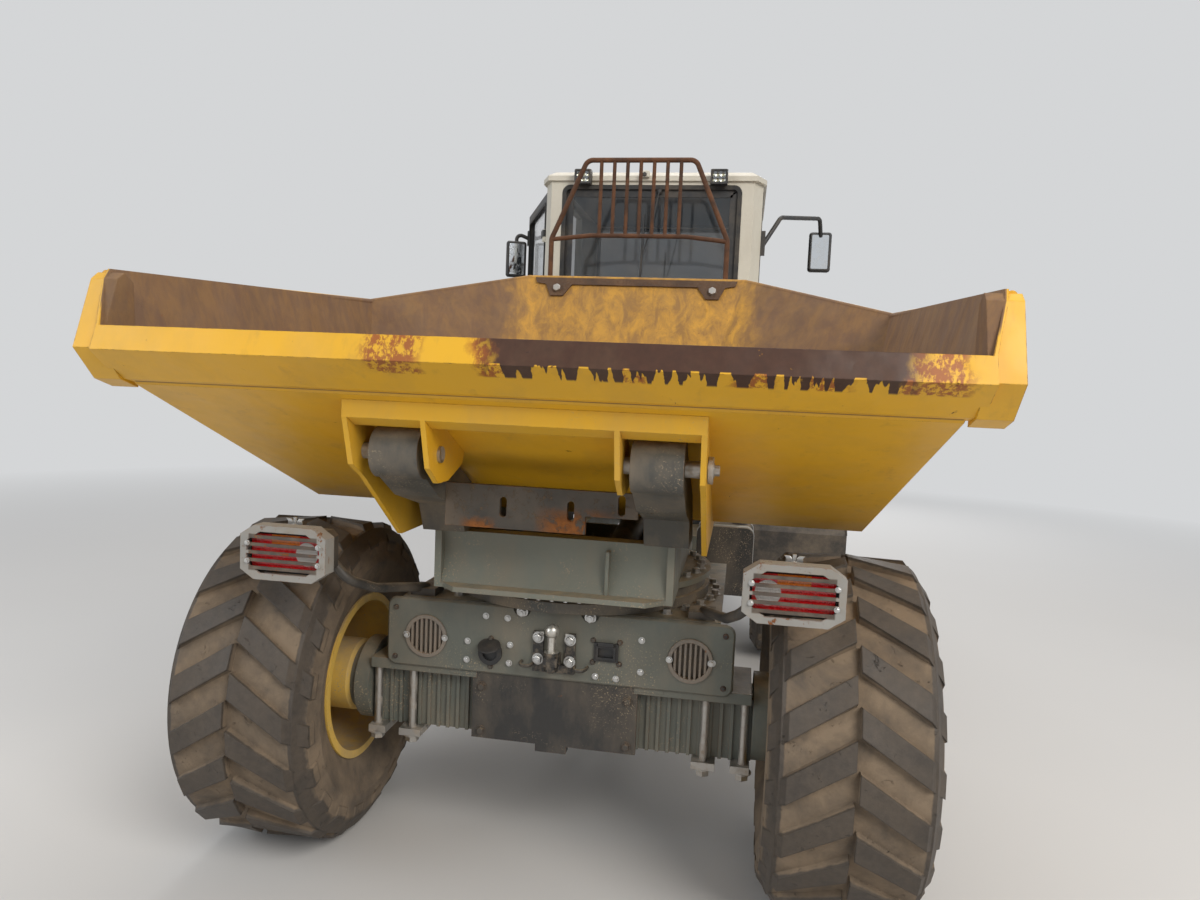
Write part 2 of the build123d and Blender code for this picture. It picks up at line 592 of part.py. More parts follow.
def skip_shape(inset, top):
    """The skip's hull as a solid, every face moved in by inset, cut off above by the rim or carried on to top."""
    ramp_slope = (BAND_BOTTOM_Z - FLOOR_Z) / (FLOOR_START - TAIL_Y)
    ramp_lift = inset * math.sqrt(1 + ramp_slope ** 2)
    head_lean = (HEADBOARD_Y - FLOOR_END) / (HEADBOARD_TOP_Z - FLOOR_Z)
    head_in = inset * math.sqrt(1 + head_lean ** 2)
    floor = FLOOR_Z + inset

    def head_y(z):
        return FLOOR_END + (z - FLOOR_Z) * head_lean - head_in

    def ramp_z(y):
        return FLOOR_Z + (FLOOR_START - y) * ramp_slope + ramp_lift

    start = FLOOR_START + (ramp_lift - inset) / ramp_slope
    knee = TAIL_Y + 30
    if top is None:
        rim = [(head_y(HEADBOARD_TOP_Z), HEADBOARD_TOP_Z), (SIDE_CORNER, SIDE_TOP_Z), (TAIL_Y + 10, TAIL_TOP_Z + 5),
               (TAIL_Y - 18, TAIL_TOP_Z - 24), (LIP_Y, LIP_TOP_Z)]
    else:
        rim = [(head_y(top), top), (LIP_Y - 40, top), (LIP_Y - 40, LIP_TOP_Z + 1), (LIP_Y + inset, LIP_TOP_Z + 1)]
    outline = [(start, floor), (head_y(floor), floor)] + rim + [(knee, ramp_z(knee))]
    hull = prism("x", [(at(y), z) for y, z in outline], -1400, 1400)
    side_lean = (SIDE_TOP_HALF_WIDTH - FLOOR_HALF_WIDTH) / (SIDE_TOP_Z - FLOOR_Z)
    side_in = inset * math.sqrt(1 + side_lean ** 2)

    def side_x(z):
        return FLOOR_HALF_WIDTH + (z - FLOOR_Z) * side_lean - side_in

    gable = prism("y", [(-side_x(1000), 1000), (side_x(1000), 1000), (side_x(2600), 2600), (-side_x(2600), 2600)],
                  at(-1100), at(1800))
    hull = hull & gable
    corner = Vector(SIDE_TOP_HALF_WIDTH, at(SIDE_CORNER), SIDE_TOP_Z)
    peak = Vector(HEADBOARD_HALF_WIDTH, at(HEADBOARD_Y), HEADBOARD_TOP_Z)
    foot = Vector(FLOOR_HALF_WIDTH, at(FLOOR_CORNER), FLOOR_Z)
    out = (peak - corner).cross(foot - corner).normalized()
    if out.X < 0:
        out = out * -1
    for sign in (1, -1):
        plane = Plane(origin=Vector(sign * corner.X, corner.Y, corner.Z) - Vector(sign * out.X, out.Y, out.Z) * inset,
                      z_dir=Vector(sign * out.X, out.Y, out.Z))
        hull = hull.split(plane, keep=Keep.BOTTOM)
    return hull.solid()


def skip_tub():
    shell = skip_shape(0.0, None) - skip_shape(SKIP_WALL, 2500.0)
    lip = [(LIP_Y, LIP_TOP_Z), (TAIL_OVERHANG * -1, FOLD_Z), (TAIL_Y, BAND_BOTTOM_Z), (TAIL_Y + 36, BAND_BOTTOM_Z - 8),
           (TAIL_Y + 34, BAND_BOTTOM_Z + 10), (LIP_Y + 10, LIP_TOP_Z)]
    half = 1160.0
    band = prism("x", [(at(y), z) for y, z in lip], -half, half)
    flange = prism("x", [(at(y), z) for y, z in ((TAIL_Y + 6, TAIL_TOP_Z - 6), (TAIL_Y - 20, TAIL_TOP_Z - 26),
                         (LIP_Y - 8, LIP_TOP_Z - 62), (TAIL_Y - 10, BAND_BOTTOM_Z - 2), (TAIL_Y + 60, BAND_BOTTOM_Z - 24),
                         (TAIL_Y + 40, TAIL_TOP_Z - 30))], 1140, 1140 + TAIL_FLANGE * 2.5)
    rim = []
    runs = [((SIDE_TOP_HALF_WIDTH - 12, TAIL_Y + 12, TAIL_TOP_Z - 4), (SIDE_TOP_HALF_WIDTH, SIDE_CORNER, SIDE_TOP_Z)),
            ((SIDE_TOP_HALF_WIDTH, SIDE_CORNER, SIDE_TOP_Z), (HEADBOARD_HALF_WIDTH, HEADBOARD_Y, HEADBOARD_TOP_Z)),
            ((HEADBOARD_HALF_WIDTH, HEADBOARD_Y, HEADBOARD_TOP_Z), (-HEADBOARD_HALF_WIDTH, HEADBOARD_Y, HEADBOARD_TOP_Z))]
    for a, b in runs:
        bar = rod((a[0], at(a[1]), a[2] - RIM_DROP), (b[0], at(b[1]), b[2] - RIM_DROP), RIM_BAR_RADIUS)
        rim.append(bar)
        if b[0] > 0:
            rim.append(mirrored(bar))
    return joined(shell, band, pair(flange), rim)


def skip_ribs():
    slope = (BAND_BOTTOM_Z - FLOOR_Z) / (FLOOR_START - TAIL_Y)

    def under(y):
        return FLOOR_Z + (FLOOR_START - y) * slope if y < FLOOR_START else FLOOR_Z

    tail, boss = HINGE_OFFSET - 120, HINGE_OFFSET - 75
    outer = [(tail, under(tail)), (FLOOR_START, FLOOR_Z), (980, FLOOR_Z), (960, RIB_FOOT_Z + 15), (200, RIB_FOOT_Z),
             (-330, RIB_FOOT_Z), (HINGE_OFFSET + 5, HINGE_Z - 80), (boss, HINGE_Z - 35), (tail, under(tail) - 50)]
    inner = [(tail, under(tail)), (HINGE_OFFSET + 220, under(HINGE_OFFSET + 220)), (HINGE_OFFSET + 200, HINGE_Z - 45),
             (HINGE_OFFSET + 80, HINGE_Z - 84), (HINGE_OFFSET - 5, HINGE_Z - 84), (boss, HINGE_Z - 35),
             (tail, under(tail) - 50)]
    ribs = [prism("x", [(at(y), z) for y, z in outline], x - RIB_PLATE / 2, x + RIB_PLATE / 2)
            for outline, x in ((outer, RIB_OUTER_X), (inner, RIB_INNER_X))]
    near = HINGE_OFFSET - 70
    beam = prism("x", [(at(y), z) for y, z in ((tail, under(tail)), (near, under(near)), (near, under(near) - 50),
                                               (tail, under(tail) - 50))], -RIB_OUTER_X, RIB_OUTER_X)
    cross = block(-RIB_OUTER_X, RIB_OUTER_X, at(900), at(914), FLOOR_Z - 26, FLOOR_Z)
    head_y, head_z = at(TIP_HEAD[0]), TIP_HEAD[1]
    ears = []
    half = TIP_EYE_WIDTH / 2 + 2
    for x in (TIP_CYLINDER_X - half - 14, TIP_CYLINDER_X + half):
        ears.append(prism("x", [(head_y - 60, FLOOR_Z), (head_y + 50, FLOOR_Z), (head_y + 34, head_z - 34),
                                (head_y - 34, head_z - 34)], x, x + 14))
    body = joined(*[pair(r) for r in ribs], beam, cross, *[pair(e) for e in ears])
    bores = [rod((s * 200, HINGE_Y, HINGE_Z), (s * 560, HINGE_Y, HINGE_Z), HINGE_PIN_RADIUS) for s in (-1, 1)]
    for bore in bores:
        body -= bore
    return body


def tip_pin():
    x0, x1 = RIB_INNER_X - RIB_PLATE / 2 - 8, RIB_OUTER_X + RIB_PLATE / 2 + 16
    pin = rod((x0, HINGE_Y, HINGE_Z), (x1, HINGE_Y, HINGE_Z), HINGE_PIN_RADIUS)
    head = rod((x1 - 14, HINGE_Y, HINGE_Z), (x1, HINGE_Y, HINGE_Z), 38)
    return joined(pin, head)


HEAD_LEAN = (HEADBOARD_Y - FLOOR_END) / (HEADBOARD_TOP_Z - FLOOR_Z)


def head_face(z):
    """Y of the headboard's outer face at a height."""
    return at(FLOOR_END) + (z - FLOOR_Z) * HEAD_LEAN


def headboard_shield():
    """A dark plate along the headboard's top with two lobes, on the skip's inner side."""
    outline = [(-530, 2268), (530, 2268), (520, 2240), (470, 2232), (440, 2170), (372, 2170), (330, 2232), (-330, 2232),
               (-372, 2170), (-440, 2170), (-470, 2232), (-520, 2240)]
    near = at(HEADBOARD_Y) - SKIP_WALL - SEAT_GAP
    plate = block(-600, 600, near - 12, near, 2100, 2300)
    face = prism("y", outline, at(1300), at(1600))
    plate = plate.rotate(Axis((0, at(HEADBOARD_Y), HEADBOARD_TOP_Z), (1, 0, 0)), -math.degrees(math.atan(HEAD_LEAN)))
    bar_y, bar_z = at(HEADBOARD_Y), HEADBOARD_TOP_Z - RIM_DROP
    return (plate & face) - rod((-700, bar_y, bar_z), (700, bar_y, bar_z), RIM_BAR_RADIUS + SEAT_GAP)


def guard_rack():
    """Bent bars over the headboard: an arch on two posts, a lower rail and uprights."""
    y = at(HEADBOARD_Y + RACK_STANDOFF)
    half, top_half, knee = RACK_HALF_WIDTH, RACK_TOP_HALF_WIDTH, RACK_KNEE_Z
    foot = HEADBOARD_TOP_Z - 70
    arch = bent_bar([(-half, y, foot), (-half, y, knee), (-top_half, y, RACK_TOP_Z), (top_half, y, RACK_TOP_Z),
                     (half, y, knee), (half, y, foot)], RACK_BAR, RACK_BEND)
    rail_z = knee + RACK_RAIL_RISE
    rail = bent_bar([(-half - 4, y, knee - 4), (-RACK_RAIL_HALF_WIDTH, y, rail_z), (RACK_RAIL_HALF_WIDTH, y, rail_z),
                     (half + 4, y, knee - 4)], RACK_BAR * 0.9, RACK_RAIL_BEND)
    bars = [rod((i * RACK_PITCH, y, rail_z - 4), (i * RACK_PITCH, y, RACK_TOP_Z + 2), RACK_BAR * 0.75)
            for i in range(-3, 4)]
    low, high = foot - 30, foot + 30
    clamps = [prism("x", [(head_face(low) + SEAT_GAP, low), (y + 20, low), (y + 20, high),
                          (head_face(high) + SEAT_GAP, high)], s * half - 2 * RACK_BAR, s * half + 2 * RACK_BAR)
              for s in (-1, 1)]
    return joined(arch, rail, bars, clamps)


def safety_prop():
    """A red channel strut stowed beside the left outer rib."""
    x0, x1 = -RIB_OUTER_X - RIB_PLATE / 2 - 66, -RIB_OUTER_X - RIB_PLATE / 2
    slope = (BAND_BOTTOM_Z - FLOOR_Z) / (FLOOR_START - TAIL_Y)

    def line(y, drop):
        return (at(y), FLOOR_Z + (FLOOR_START - y) * slope - drop)

    strut = prism("x", [line(-420, 12), line(100, 12), line(100, 72), line(-420, 72)], x0, x1)
    strut -= prism("x", [line(-430, 20), line(110, 20), line(110, 80), line(-430, 80)], x0 + 8, x1 - 8)
    return strut


# Cylinders

def cylinder(foot, head, barrel_radius, rod_radius, pin_radius, eye_radius, eye_half, barrel_length, tail, pin_axis):
    """Barrel and rod between two pins, each with its eye. The barrel is bored to pass the rod and its foot pin."""
    foot, head, across = Vector(*foot), Vector(*head), Vector(*pin_axis)
    way = (head - foot).normalized()
    start = foot + way * (eye_radius + 26)
    end = foot + way * barrel_length
    neck = rod(foot, start + way, eye_half - 2)
    barrel = joined(rod(foot - across * eye_half, foot + across * eye_half, eye_radius), neck,
                    rod(start, end, barrel_radius))
    barrel -= rod(foot + way * (eye_radius + 40), end + way, rod_radius + BORE_CLEARANCE)
    barrel -= rod(foot - across * (eye_half + 20), foot + across * (eye_half + 20), pin_radius + BORE_CLEARANCE)
    piston = joined(rod(foot + way * tail, head - way * 20, rod_radius),
                    rod(head - across * eye_half, head + across * eye_half, eye_radius))
    return barrel, piston


def tip_cylinder(x):
    return cylinder((x, at(TIP_FOOT[0]), TIP_FOOT[1]), (x, at(TIP_HEAD[0]), TIP_HEAD[1]), TIP_BARREL_RADIUS,
                    TIP_ROD_RADIUS, TIP_FOOT_PIN_RADIUS, TIP_EYE_RADIUS, TIP_EYE_WIDTH / 2, TIP_BARREL_LENGTH,
                    TIP_EYE_RADIUS + 50, (1, 0, 0))


def steer_cylinder(sign):
    return cylinder((sign * STEER_FOOT[0], PIVOT_Y + STEER_FOOT[1], STEER_Z),
                    (sign * STEER_HEAD[0], PIVOT_Y + STEER_HEAD[1], STEER_Z), STEER_BARREL_RADIUS,
                    STEER_ROD_RADIUS, STEER_PIN_RADIUS, STEER_EYE_RADIUS, STEER_EYE_HEIGHT / 2, STEER_BARREL_LENGTH,
                    STEER_BARREL_LENGTH - 200, (0, 0, 1))


# Front chassis

def front_chassis():
    y0, y1 = at(FRONT_RAIL_START), at(FRONT_RAIL_END)
    rails = pair(block(RAIL_INNER_X, RAIL_OUTER_X, y0, y1, RAIL_BOTTOM_Z, RAIL_TOP_Z - 15))
    top = RAIL_TOP_Z - 15
    crosses = [block(-RAIL_OUTER_X, RAIL_OUTER_X, y, y + 40, RAIL_BOTTOM_Z, top) for y in (y0, at(3360), y1 - 40)]
    seat = pair(block(RAIL_INNER_X, RAIL_OUTER_X + 60, FRONT_AXLE_Y - 90, FRONT_AXLE_Y + 90,
                      AXLE_SEAT_Z, SEAT_TOP_Z))
    hub = ring((0, PIVOT_Y), PIVOT_HUB_RADIUS, PIVOT_PIN_RADIUS + BORE_CLEARANCE, PIVOT_HUB_BOTTOM, PIVOT_HUB_TOP)
    tongue = block(-TONGUE_HALF_WIDTH, TONGUE_HALF_WIDTH, PIVOT_Y + PIVOT_HUB_RADIUS - 30, y0 + 1,
                   PIVOT_HUB_BOTTOM + 40, PIVOT_HUB_TOP - 20)
    hx, hy = STEER_HEAD[0], PIVOT_Y + STEER_HEAD[1]
    ears = []
    for z in (STEER_Z - STEER_EYE_HEIGHT / 2 - 25, STEER_Z + STEER_EYE_HEIGHT / 2 + 5):
        ears += pair(block(hx - 60, hx + 60, hy - 50, y0 + 1, z, z + 20))
    hinge_y, hinge_z = at(HOOD_HINGE[0]), HOOD_HINGE[1]
    x0, x1 = HOOD_POST_X, HOOD_POST_X + HOOD_POST_WIDTH
    post = joined(block(x0, x1, hinge_y - 16, hinge_y + 16, top - 20, hinge_z),
                  rod((x0, hinge_y, hinge_z), (x1, hinge_y, hinge_z), 16),
                  rod((x0 - 6, hinge_y, hinge_z), (x1 + 24, hinge_y, hinge_z), HOOD_PIN_RADIUS))
    brace = block(-x1, x1, hinge_y - 12, hinge_y + 12, hinge_z - 90, hinge_z - 60)
    return joined(rails, crosses, seat, hub, tongue, ears, pair(post), brace)


def front_fender(sign):
    """A folded sheet over the front wheel, flat on top as a platform, with a turned-down outer edge."""
    x0, x1 = CAB_HALF_WIDTH + SEAT_GAP, TRACK / 2 + TYRE_WIDTH / 2
    knee, low = 395.0, 900.0
    fold = [(-FENDER_REACH, 690), (-FENDER_REACH, low), (-knee, FENDER_TOP_Z), (knee, FENDER_TOP_Z),
            (FENDER_REACH, low), (FENDER_REACH, 820)]

    def offset(grow):
        """The fold drawn in towards the axle."""
        share = 1 - grow / (FENDER_TOP_Z - AXLE_Z)
        return [(FRONT_AXLE_Y + y * share, AXLE_Z + (z - AXLE_Z) * share) for y, z in fold]

    skin = prism("x", offset(0) + list(reversed(offset(FENDER_SKIN))), x0, x1)
    edge = prism("x", offset(0) + list(reversed(offset(FENDER_EDGE))), x1, x1 + 6)
    both_sides = joined(skin, edge)
    return both_sides if sign > 0 else mirrored(both_sides)


def front_bumper():
    """A heavy plate box across the nose, with a tow jaw and its pin hole at the middle."""
    face = NOSE_Y - LAMP_PROUD
    half = BUMPER_HALF_WIDTH
    y0 = at(FRONT_RAIL_END)
    plan = [(-half, y0), (half, y0), (half, face - 60), (half - 110, face), (110 - half, face), (-half, face - 60)]
    body = prism("z", plan, FRONT_BUMPER_LOW, FRONT_BUMPER_HIGH)
    jaw = block(-70, 70, face - 70, face + 1, JAW_Z - JAW_GAP / 2, JAW_Z + JAW_GAP / 2)
    hole = rod((0, face - 36, JAW_Z - 90), (0, face - 36, FRONT_BUMPER_HIGH + 1), JAW_PIN_RADIUS)
    return body - jaw - hole


def head_lamps():
    face = NOSE_Y - LAMP_PROUD
    return [rod((s * 400, face, 925), (s * 400, NOSE_Y, 925), 62) for s in (-1, 1)]


def cab_plan(inset, front_extra=0.0):
    r, h, f = CAB_REAR_HALF_WIDTH - inset, CAB_HALF_WIDTH - inset, CAB_FRONT_HALF_WIDTH - inset
    y0, y1 = CAB_REAR_Y + inset, CAB_REAR_Y + CAB_FRONT - inset
    return [(-r, y0), (r, y0), (h, y0 + 110), (h, y1 - 260), (f, y1), (-f, y1), (-h, y1 - 260), (-h, y0 + 110)]


DOOR_PIN_RADIUS = 7.0
DOOR_KNUCKLES = (DOOR_BOTTOM_Z + 138.0, WINDOW_TOP_Z - 308.0)
REAR_PANE_X = CAB_REAR_HALF_WIDTH - REAR_WINDOW_MARGIN
FRONT_PANE_X = CAB_FRONT_HALF_WIDTH - FRONT_WINDOW_MARGIN
DOOR_HINGE = Axis((-CAB_HALF_WIDTH - 14, CAB_REAR_Y + DOOR_START - 8, 0), (0, 0, 1))


def cab_shell():
    """Floor, lower panels, posts and roof beams: a hollow box with its windows and doorway cut."""
    outer = prism("z", cab_plan(0), CAB_FLOOR_Z, CAB_WALL_TOP_Z)
    inner = prism("z", cab_plan(CAB_WALL), CAB_FLOOR_Z + CAB_FLOOR_THICKNESS, CAB_WALL_TOP_Z + 1)
    shell = outer - inner
    rear = block(-REAR_PANE_X, REAR_PANE_X, CAB_REAR_Y - 5, CAB_REAR_Y + CAB_WALL + 5,
                 SILL_Z + 60, WINDOW_TOP_Z)
    rear = rear.fillet(45, rear.edges().filter_by(Axis.Y))
    y1 = CAB_REAR_Y + CAB_FRONT
    front = block(-FRONT_PANE_X, FRONT_PANE_X, y1 - CAB_WALL - 5, y1 + 5, SILL_Z - 60,
                  WINDOW_TOP_Z)
    right = block(CAB_HALF_WIDTH - CAB_WALL - 5, CAB_HALF_WIDTH + 5, CAB_REAR_Y + DOOR_START, CAB_REAR_Y + DOOR_END,
                  SILL_Z, WINDOW_TOP_Z)
    doorway = block(-CAB_HALF_WIDTH - 5, -CAB_HALF_WIDTH + CAB_WALL + 5, CAB_REAR_Y + DOOR_START,
                    CAB_REAR_Y + DOOR_END, DOOR_BOTTOM_Z, WINDOW_TOP_Z)
    shell = shell - rear - front - right - doorway
    pin_x, pin_y = DOOR_HINGE.position.X, DOOR_HINGE.position.Y
    brackets = [joined(block(pin_x - 9, 1 - CAB_HALF_WIDTH, pin_y - 9, pin_y + 7, z, z + 30),
                       rod((pin_x, pin_y, z), (pin_x, pin_y, z + 78), DOOR_PIN_RADIUS)) for z in DOOR_KNUCKLES]
    shell = joined(shell, brackets)
    mounts = [rod((s * 330, y, RAIL_TOP_Z - 15), (s * 330, y, CAB_FLOOR_Z), 48)
              for s in (-1, 1) for y in (CAB_REAR_Y + 150, CAB_REAR_Y + 1150)]
    return shell, mounts


def cab_roof():
    cap = prism("z", cab_plan(-18), CAB_WALL_TOP_Z, CAB_ROOF_Z)
    return cap.chamfer(30, 50, cap.faces().sort_by(Axis.Z)[-1].edges())


def cab_glass():
    y = CAB_REAR_Y
    panes = [
        block(-REAR_PANE_X, REAR_PANE_X, y + 18, y + 18 + GLASS, SILL_Z + 60, WINDOW_TOP_Z),
        block(-FRONT_PANE_X, FRONT_PANE_X, y + CAB_FRONT - 24, y + CAB_FRONT - 24 + GLASS,
              SILL_Z - 60, WINDOW_TOP_Z),
        block(CAB_HALF_WIDTH - 26, CAB_HALF_WIDTH - 26 + GLASS, y + DOOR_START, y + DOOR_END, SILL_Z, WINDOW_TOP_Z),
    ]
    panes[0] = panes[0].fillet(45, panes[0].edges().filter_by(Axis.Y))
    return panes


def door(part):
    """The left door, modelled shut in its doorway and swung open about its rear edge."""
    x0 = -CAB_HALF_WIDTH
    x1 = x0 + DOOR_THICKNESS
    y0, y1 = CAB_REAR_Y + DOOR_START + DOOR_GAP, CAB_REAR_Y + DOOR_END - DOOR_GAP
    z0, z1 = DOOR_BOTTOM_Z + DOOR_GAP, WINDOW_TOP_Z - DOOR_GAP
    slab = block(x0, x1, y0, y1, z0, z1)
    light = block(x0 - 1, x1 + 1, y0 + DOOR_FRAME, y1 - DOOR_FRAME, z0 + DOOR_PANEL, z1 - DOOR_FRAME)
    light = light.fillet(40, light.edges().filter_by(Axis.X))
    if part == "frame":
        handle = block(x0 - 40, x0 - 26, y1 - 150, y1 - 70, z0 + 120, z0 + 142)
        posts = [block(x0 - 27, x0 + 1, y, y + 16, z0 + 122, z0 + 140) for y in (y1 - 148, y1 - 88)]
        pin_x, pin_y = DOOR_HINGE.position.X, DOOR_HINGE.position.Y
        knuckles = []
        for z in DOOR_KNUCKLES:
            knuckle = joined(rod((pin_x, pin_y, z + 32), (pin_x, pin_y, z + 72), 11),
                             block(pin_x - 11, x0 - 3, pin_y, pin_y + 24, z + 32, z + 72),
                             block(pin_x - 11, x0 + 1, pin_y + 20, pin_y + 66, z + 32, z + 72))
            knuckles.append(knuckle - rod((pin_x, pin_y, z), (pin_x, pin_y, z + 80), DOOR_PIN_RADIUS + BORE_CLEARANCE))
        shape = joined(slab - light, handle, posts, knuckles)
    else:
        shape = block(x0 + 14, x0 + 14 + GLASS, y0 + DOOR_FRAME, y1 - DOOR_FRAME, z0 + DOOR_PANEL, z1 - DOOR_FRAME)
        shape = shape.fillet(40, shape.edges().filter_by(Axis.X))
    return shape.rotate(DOOR_HINGE, DOOR_AJAR)


def operator_seat():
    """Pedestal, seat pad and back pad, with rounded edges."""
    y = CAB_REAR_Y
    base = block(-190, 190, y + 330, y + 720, CAB_FLOOR_Z + CAB_FLOOR_THICKNESS, 1440)
    pad = block(-240, 240, y + 300, y + 800, 1440, 1560)
    pad = pad.fillet(45, pad.edges())
    back = prism("x", [(y + 300, 1540), (y + 410, 1540), (y + 340, 2150), (y + 240, 2150)], -230, 230)
    back = back.fillet(40, back.edges())
    return joined(base, pad, back)


def steering_console():
    y = CAB_REAR_Y
    column = prism("x", [(y + 1080, CAB_FLOOR_Z + CAB_FLOOR_THICKNESS), (y + 1240, CAB_FLOOR_Z + CAB_FLOOR_THICKNESS),
                         (y + 1120, 1720), (y + 1040, 1720)], -90, 90)
    wheel = Solid.make_torus(185, 15, Plane(origin=(0, y + 1000, 1800), z_dir=(0, -0.5, 0.866)))
    hub = rod((0, y + 1060, 1696), (0, y + 1000, 1800), 26)
    spoke = block(-180, 180, y + 986, y + 1014, 1790, 1806)
    spoke = spoke.rotate(Axis((0, y + 1000, 1800), (1, 0, 0)), 30)
    return joined(column, hub, spoke, wheel)


MIRROR_HEAD = (140.0, 50.0, 250.0)
MIRROR_X = CAB_HALF_WIDTH + 376.0


def mirror_head(x, y, z):
    w, d, h = MIRROR_HEAD
    head = block(x - w / 2, x + w / 2, y - d / 2, y + d / 2, z - h / 2, z + h / 2)
    return head.fillet(20, head.edges())


def side_mirror():
    """The right mirror: a bent tube from the cab's side out and down to the head."""
    y, top = CAB_REAR_Y, WINDOW_TOP_Z
    foot = block(CAB_HALF_WIDTH, CAB_HALF_WIDTH + 26, y + 112, y + 134, WINDOW_TOP_Z - 368, WINDOW_TOP_Z - 228)
    tube = bent_bar([(CAB_HALF_WIDTH + 14, y + 123, top - 308), (CAB_HALF_WIDTH + 110, y + 180, top - 138),
                     (MIRROR_X - 16, y + 560, top - 68), (MIRROR_X, y + 620, top - 168)], 13, 40)
    return joined(foot, tube, mirror_head(MIRROR_X, y + 640, top - 263))


def door_mirror():
    """The left mirror, on a short tube at the front edge of the door."""
    x, y, top = -CAB_HALF_WIDTH, CAB_REAR_Y + DOOR_END - DOOR_GAP - DOOR_FRAME / 2, WINDOW_TOP_Z
    foot = block(x - 12, x, y - 20, y + 20, top - 208, top - 108)
    tube = bent_bar([(x - 6, y, top - 158), (x - 88, y, top - 128), (x - 88, y, top - 228)], 13, 30)
    return joined(foot, tube, mirror_head(x - 88, y, top - 308)).rotate(DOOR_HINGE, DOOR_AJAR)


def work_lamp(x):
    z = CAB_ROOF_Z - 40
    y = CAB_REAR_Y - 18
    body = block(x - 48, x + 48, y - 52, y - 6, z - 48, z + 34)
    stem = block(x - 12, x + 12, y - 6, y, CAB_WALL_TOP_Z + 4, CAB_WALL_TOP_Z + 22)
    return joined(body, stem)


def exhaust_stack():
    """A silencer with its open pipe, on a bracket beside the hood's rear corner."""
    x, y = HOOD_HALF_WIDTH + EXHAUST_GAP + SILENCER_RADIUS, CAB_REAR_Y + CAB_FRONT + EXHAUST_SETBACK
    foot_z = HOOD_BOTTOM_Z - 40
    silencer = rod((x, y, foot_z + 30), (x, y, SILENCER_TOP_Z), SILENCER_RADIUS)
    pipe = rod((x, y, SILENCER_TOP_Z), (x, y, EXHAUST_TOP_Z), EXHAUST_RADIUS)
    pipe -= rod((x, y, SILENCER_TOP_Z + 60), (x, y, EXHAUST_TOP_Z + 1), EXHAUST_RADIUS - 5)
    foot = block(RAIL_INNER_X + 40, x + 30, y - 10, y + 30, foot_z, foot_z + 31)
    leg = block(RAIL_INNER_X + 40, RAIL_OUTER_X, y - 10, y + 30, RAIL_TOP_Z - 15, foot_z + 31)
    return joined(silencer, pipe, foot, leg)


def side_tanks():
    """A fuel tank on the right and a battery box on the left, behind the front wheels."""
    y0 = at(FRONT_RAIL_START + 15)
    tank = block(RAIL_OUTER_X + SEAT_GAP, 690, y0, y0 + 300, 580, 960)
    tank = tank.fillet(45, tank.edges().filter_by(Axis.Y))
    box = block(-690, -RAIL_OUTER_X - SEAT_GAP, y0, y0 + 300, 620, 940)
    return [tank, box]


def cab_steps():
    """A ladder ahead of the left front wheel, up to the fender's platform."""
    y0 = FRONT_AXLE_Y + FENDER_REACH + 15
    wide = 300.0
    strings = [block(-960, -900, y, y + 12, 400, 1190) for y in (y0, y0 + wide - 12)]
    treads = [block(-960, -740, y0, y0 + wide, z, z + 26) for z in (400, 660, 920)]
    top = block(-960, -640, y0, y0 + wide, 1180, 1206)
    links = [block(-760, -RAIL_OUTER_X, y0 + y, y0 + y + 40, 700, 740) for y in (40, wide - 80)]
    post = [block(-760, -740, y0 + y, y0 + y + 40, 400, 1206) for y in (40, wide - 80)]
    return joined(strings, treads, top, links, post)


# Hood

def hood_form(inset):
    """The hood's block with rounded shoulders. The inner one runs out below and behind, to leave those sides open."""
    spill = 5 if inset else 0
    y0, y1 = at(HOOD_START) - spill, at(HOOD_END) - inset
    outline = [(y0, HOOD_BOTTOM_Z - spill), (y1, HOOD_BOTTOM_Z - spill), (y1, HOOD_FRONT_Z - 90),
               (y1 - 60, HOOD_FRONT_Z - inset), (y0, HOOD_REAR_Z - inset)]
    half = HOOD_HALF_WIDTH - inset
    form = prism("x", outline, -half, half)
    shoulders = [edge for edge in form.edges().filter_by(Axis.X, reverse=True)
                 if edge.center().Z > HOOD_BOTTOM_Z + 10 and edge.center().Y > y0 + 10]
    return form.fillet(HOOD_SHOULDER - inset, shoulders)


GRILLE_WINDOW = (-330.0, 330.0, 1120.0, 1430.0)


def hood_shell():
    x0, x1, z0, z1 = GRILLE_WINDOW
    window = block(x0, x1, at(HOOD_END) - HOOD_WALL - 5, at(HOOD_END) + 5, z0, z1)
    hinge_y, hinge_z = HOOD_HINGE
    x0 = HOOD_POST_X + HOOD_POST_WIDTH + 4
    knuckle = prism("x", [(at(hinge_y), hinge_z - 15), (at(hinge_y + 80), hinge_z - 34), (at(hinge_y + 80), hinge_z),
                          (at(hinge_y), hinge_z + 15)], x0, x0 + 14)
    eye = rod((x0, at(hinge_y), hinge_z), (x0 + 14, at(hinge_y), hinge_z), 15)
    bore = rod((x0 - 1, at(hinge_y), hinge_z), (x0 + 15, at(hinge_y), hinge_z), HOOD_PIN_RADIUS + BORE_CLEARANCE)
    knuckle = joined(knuckle, eye) - bore
    return joined(hood_form(0) - hood_form(HOOD_WALL) - window, pair(knuckle))


def hood_grille():
    x0, x1, z0, z1 = GRILLE_WINDOW
    y0, y1 = at(HOOD_END) - HOOD_WALL, at(HOOD_END)
    frame = block(x0, x1, y0, y1, z0, z1) - block(x0 + 20, x1 - 20, y0 - 1, y1 + 1, z0 + 20, z1 - 20)
    slats = [block(x0 + 10, x1 - 10, y0 + 2, y1 - 2, z, z + 10) for z in range(int(z0) + 40, int(z1) - 30, 30)]
    return joined(frame, slats)


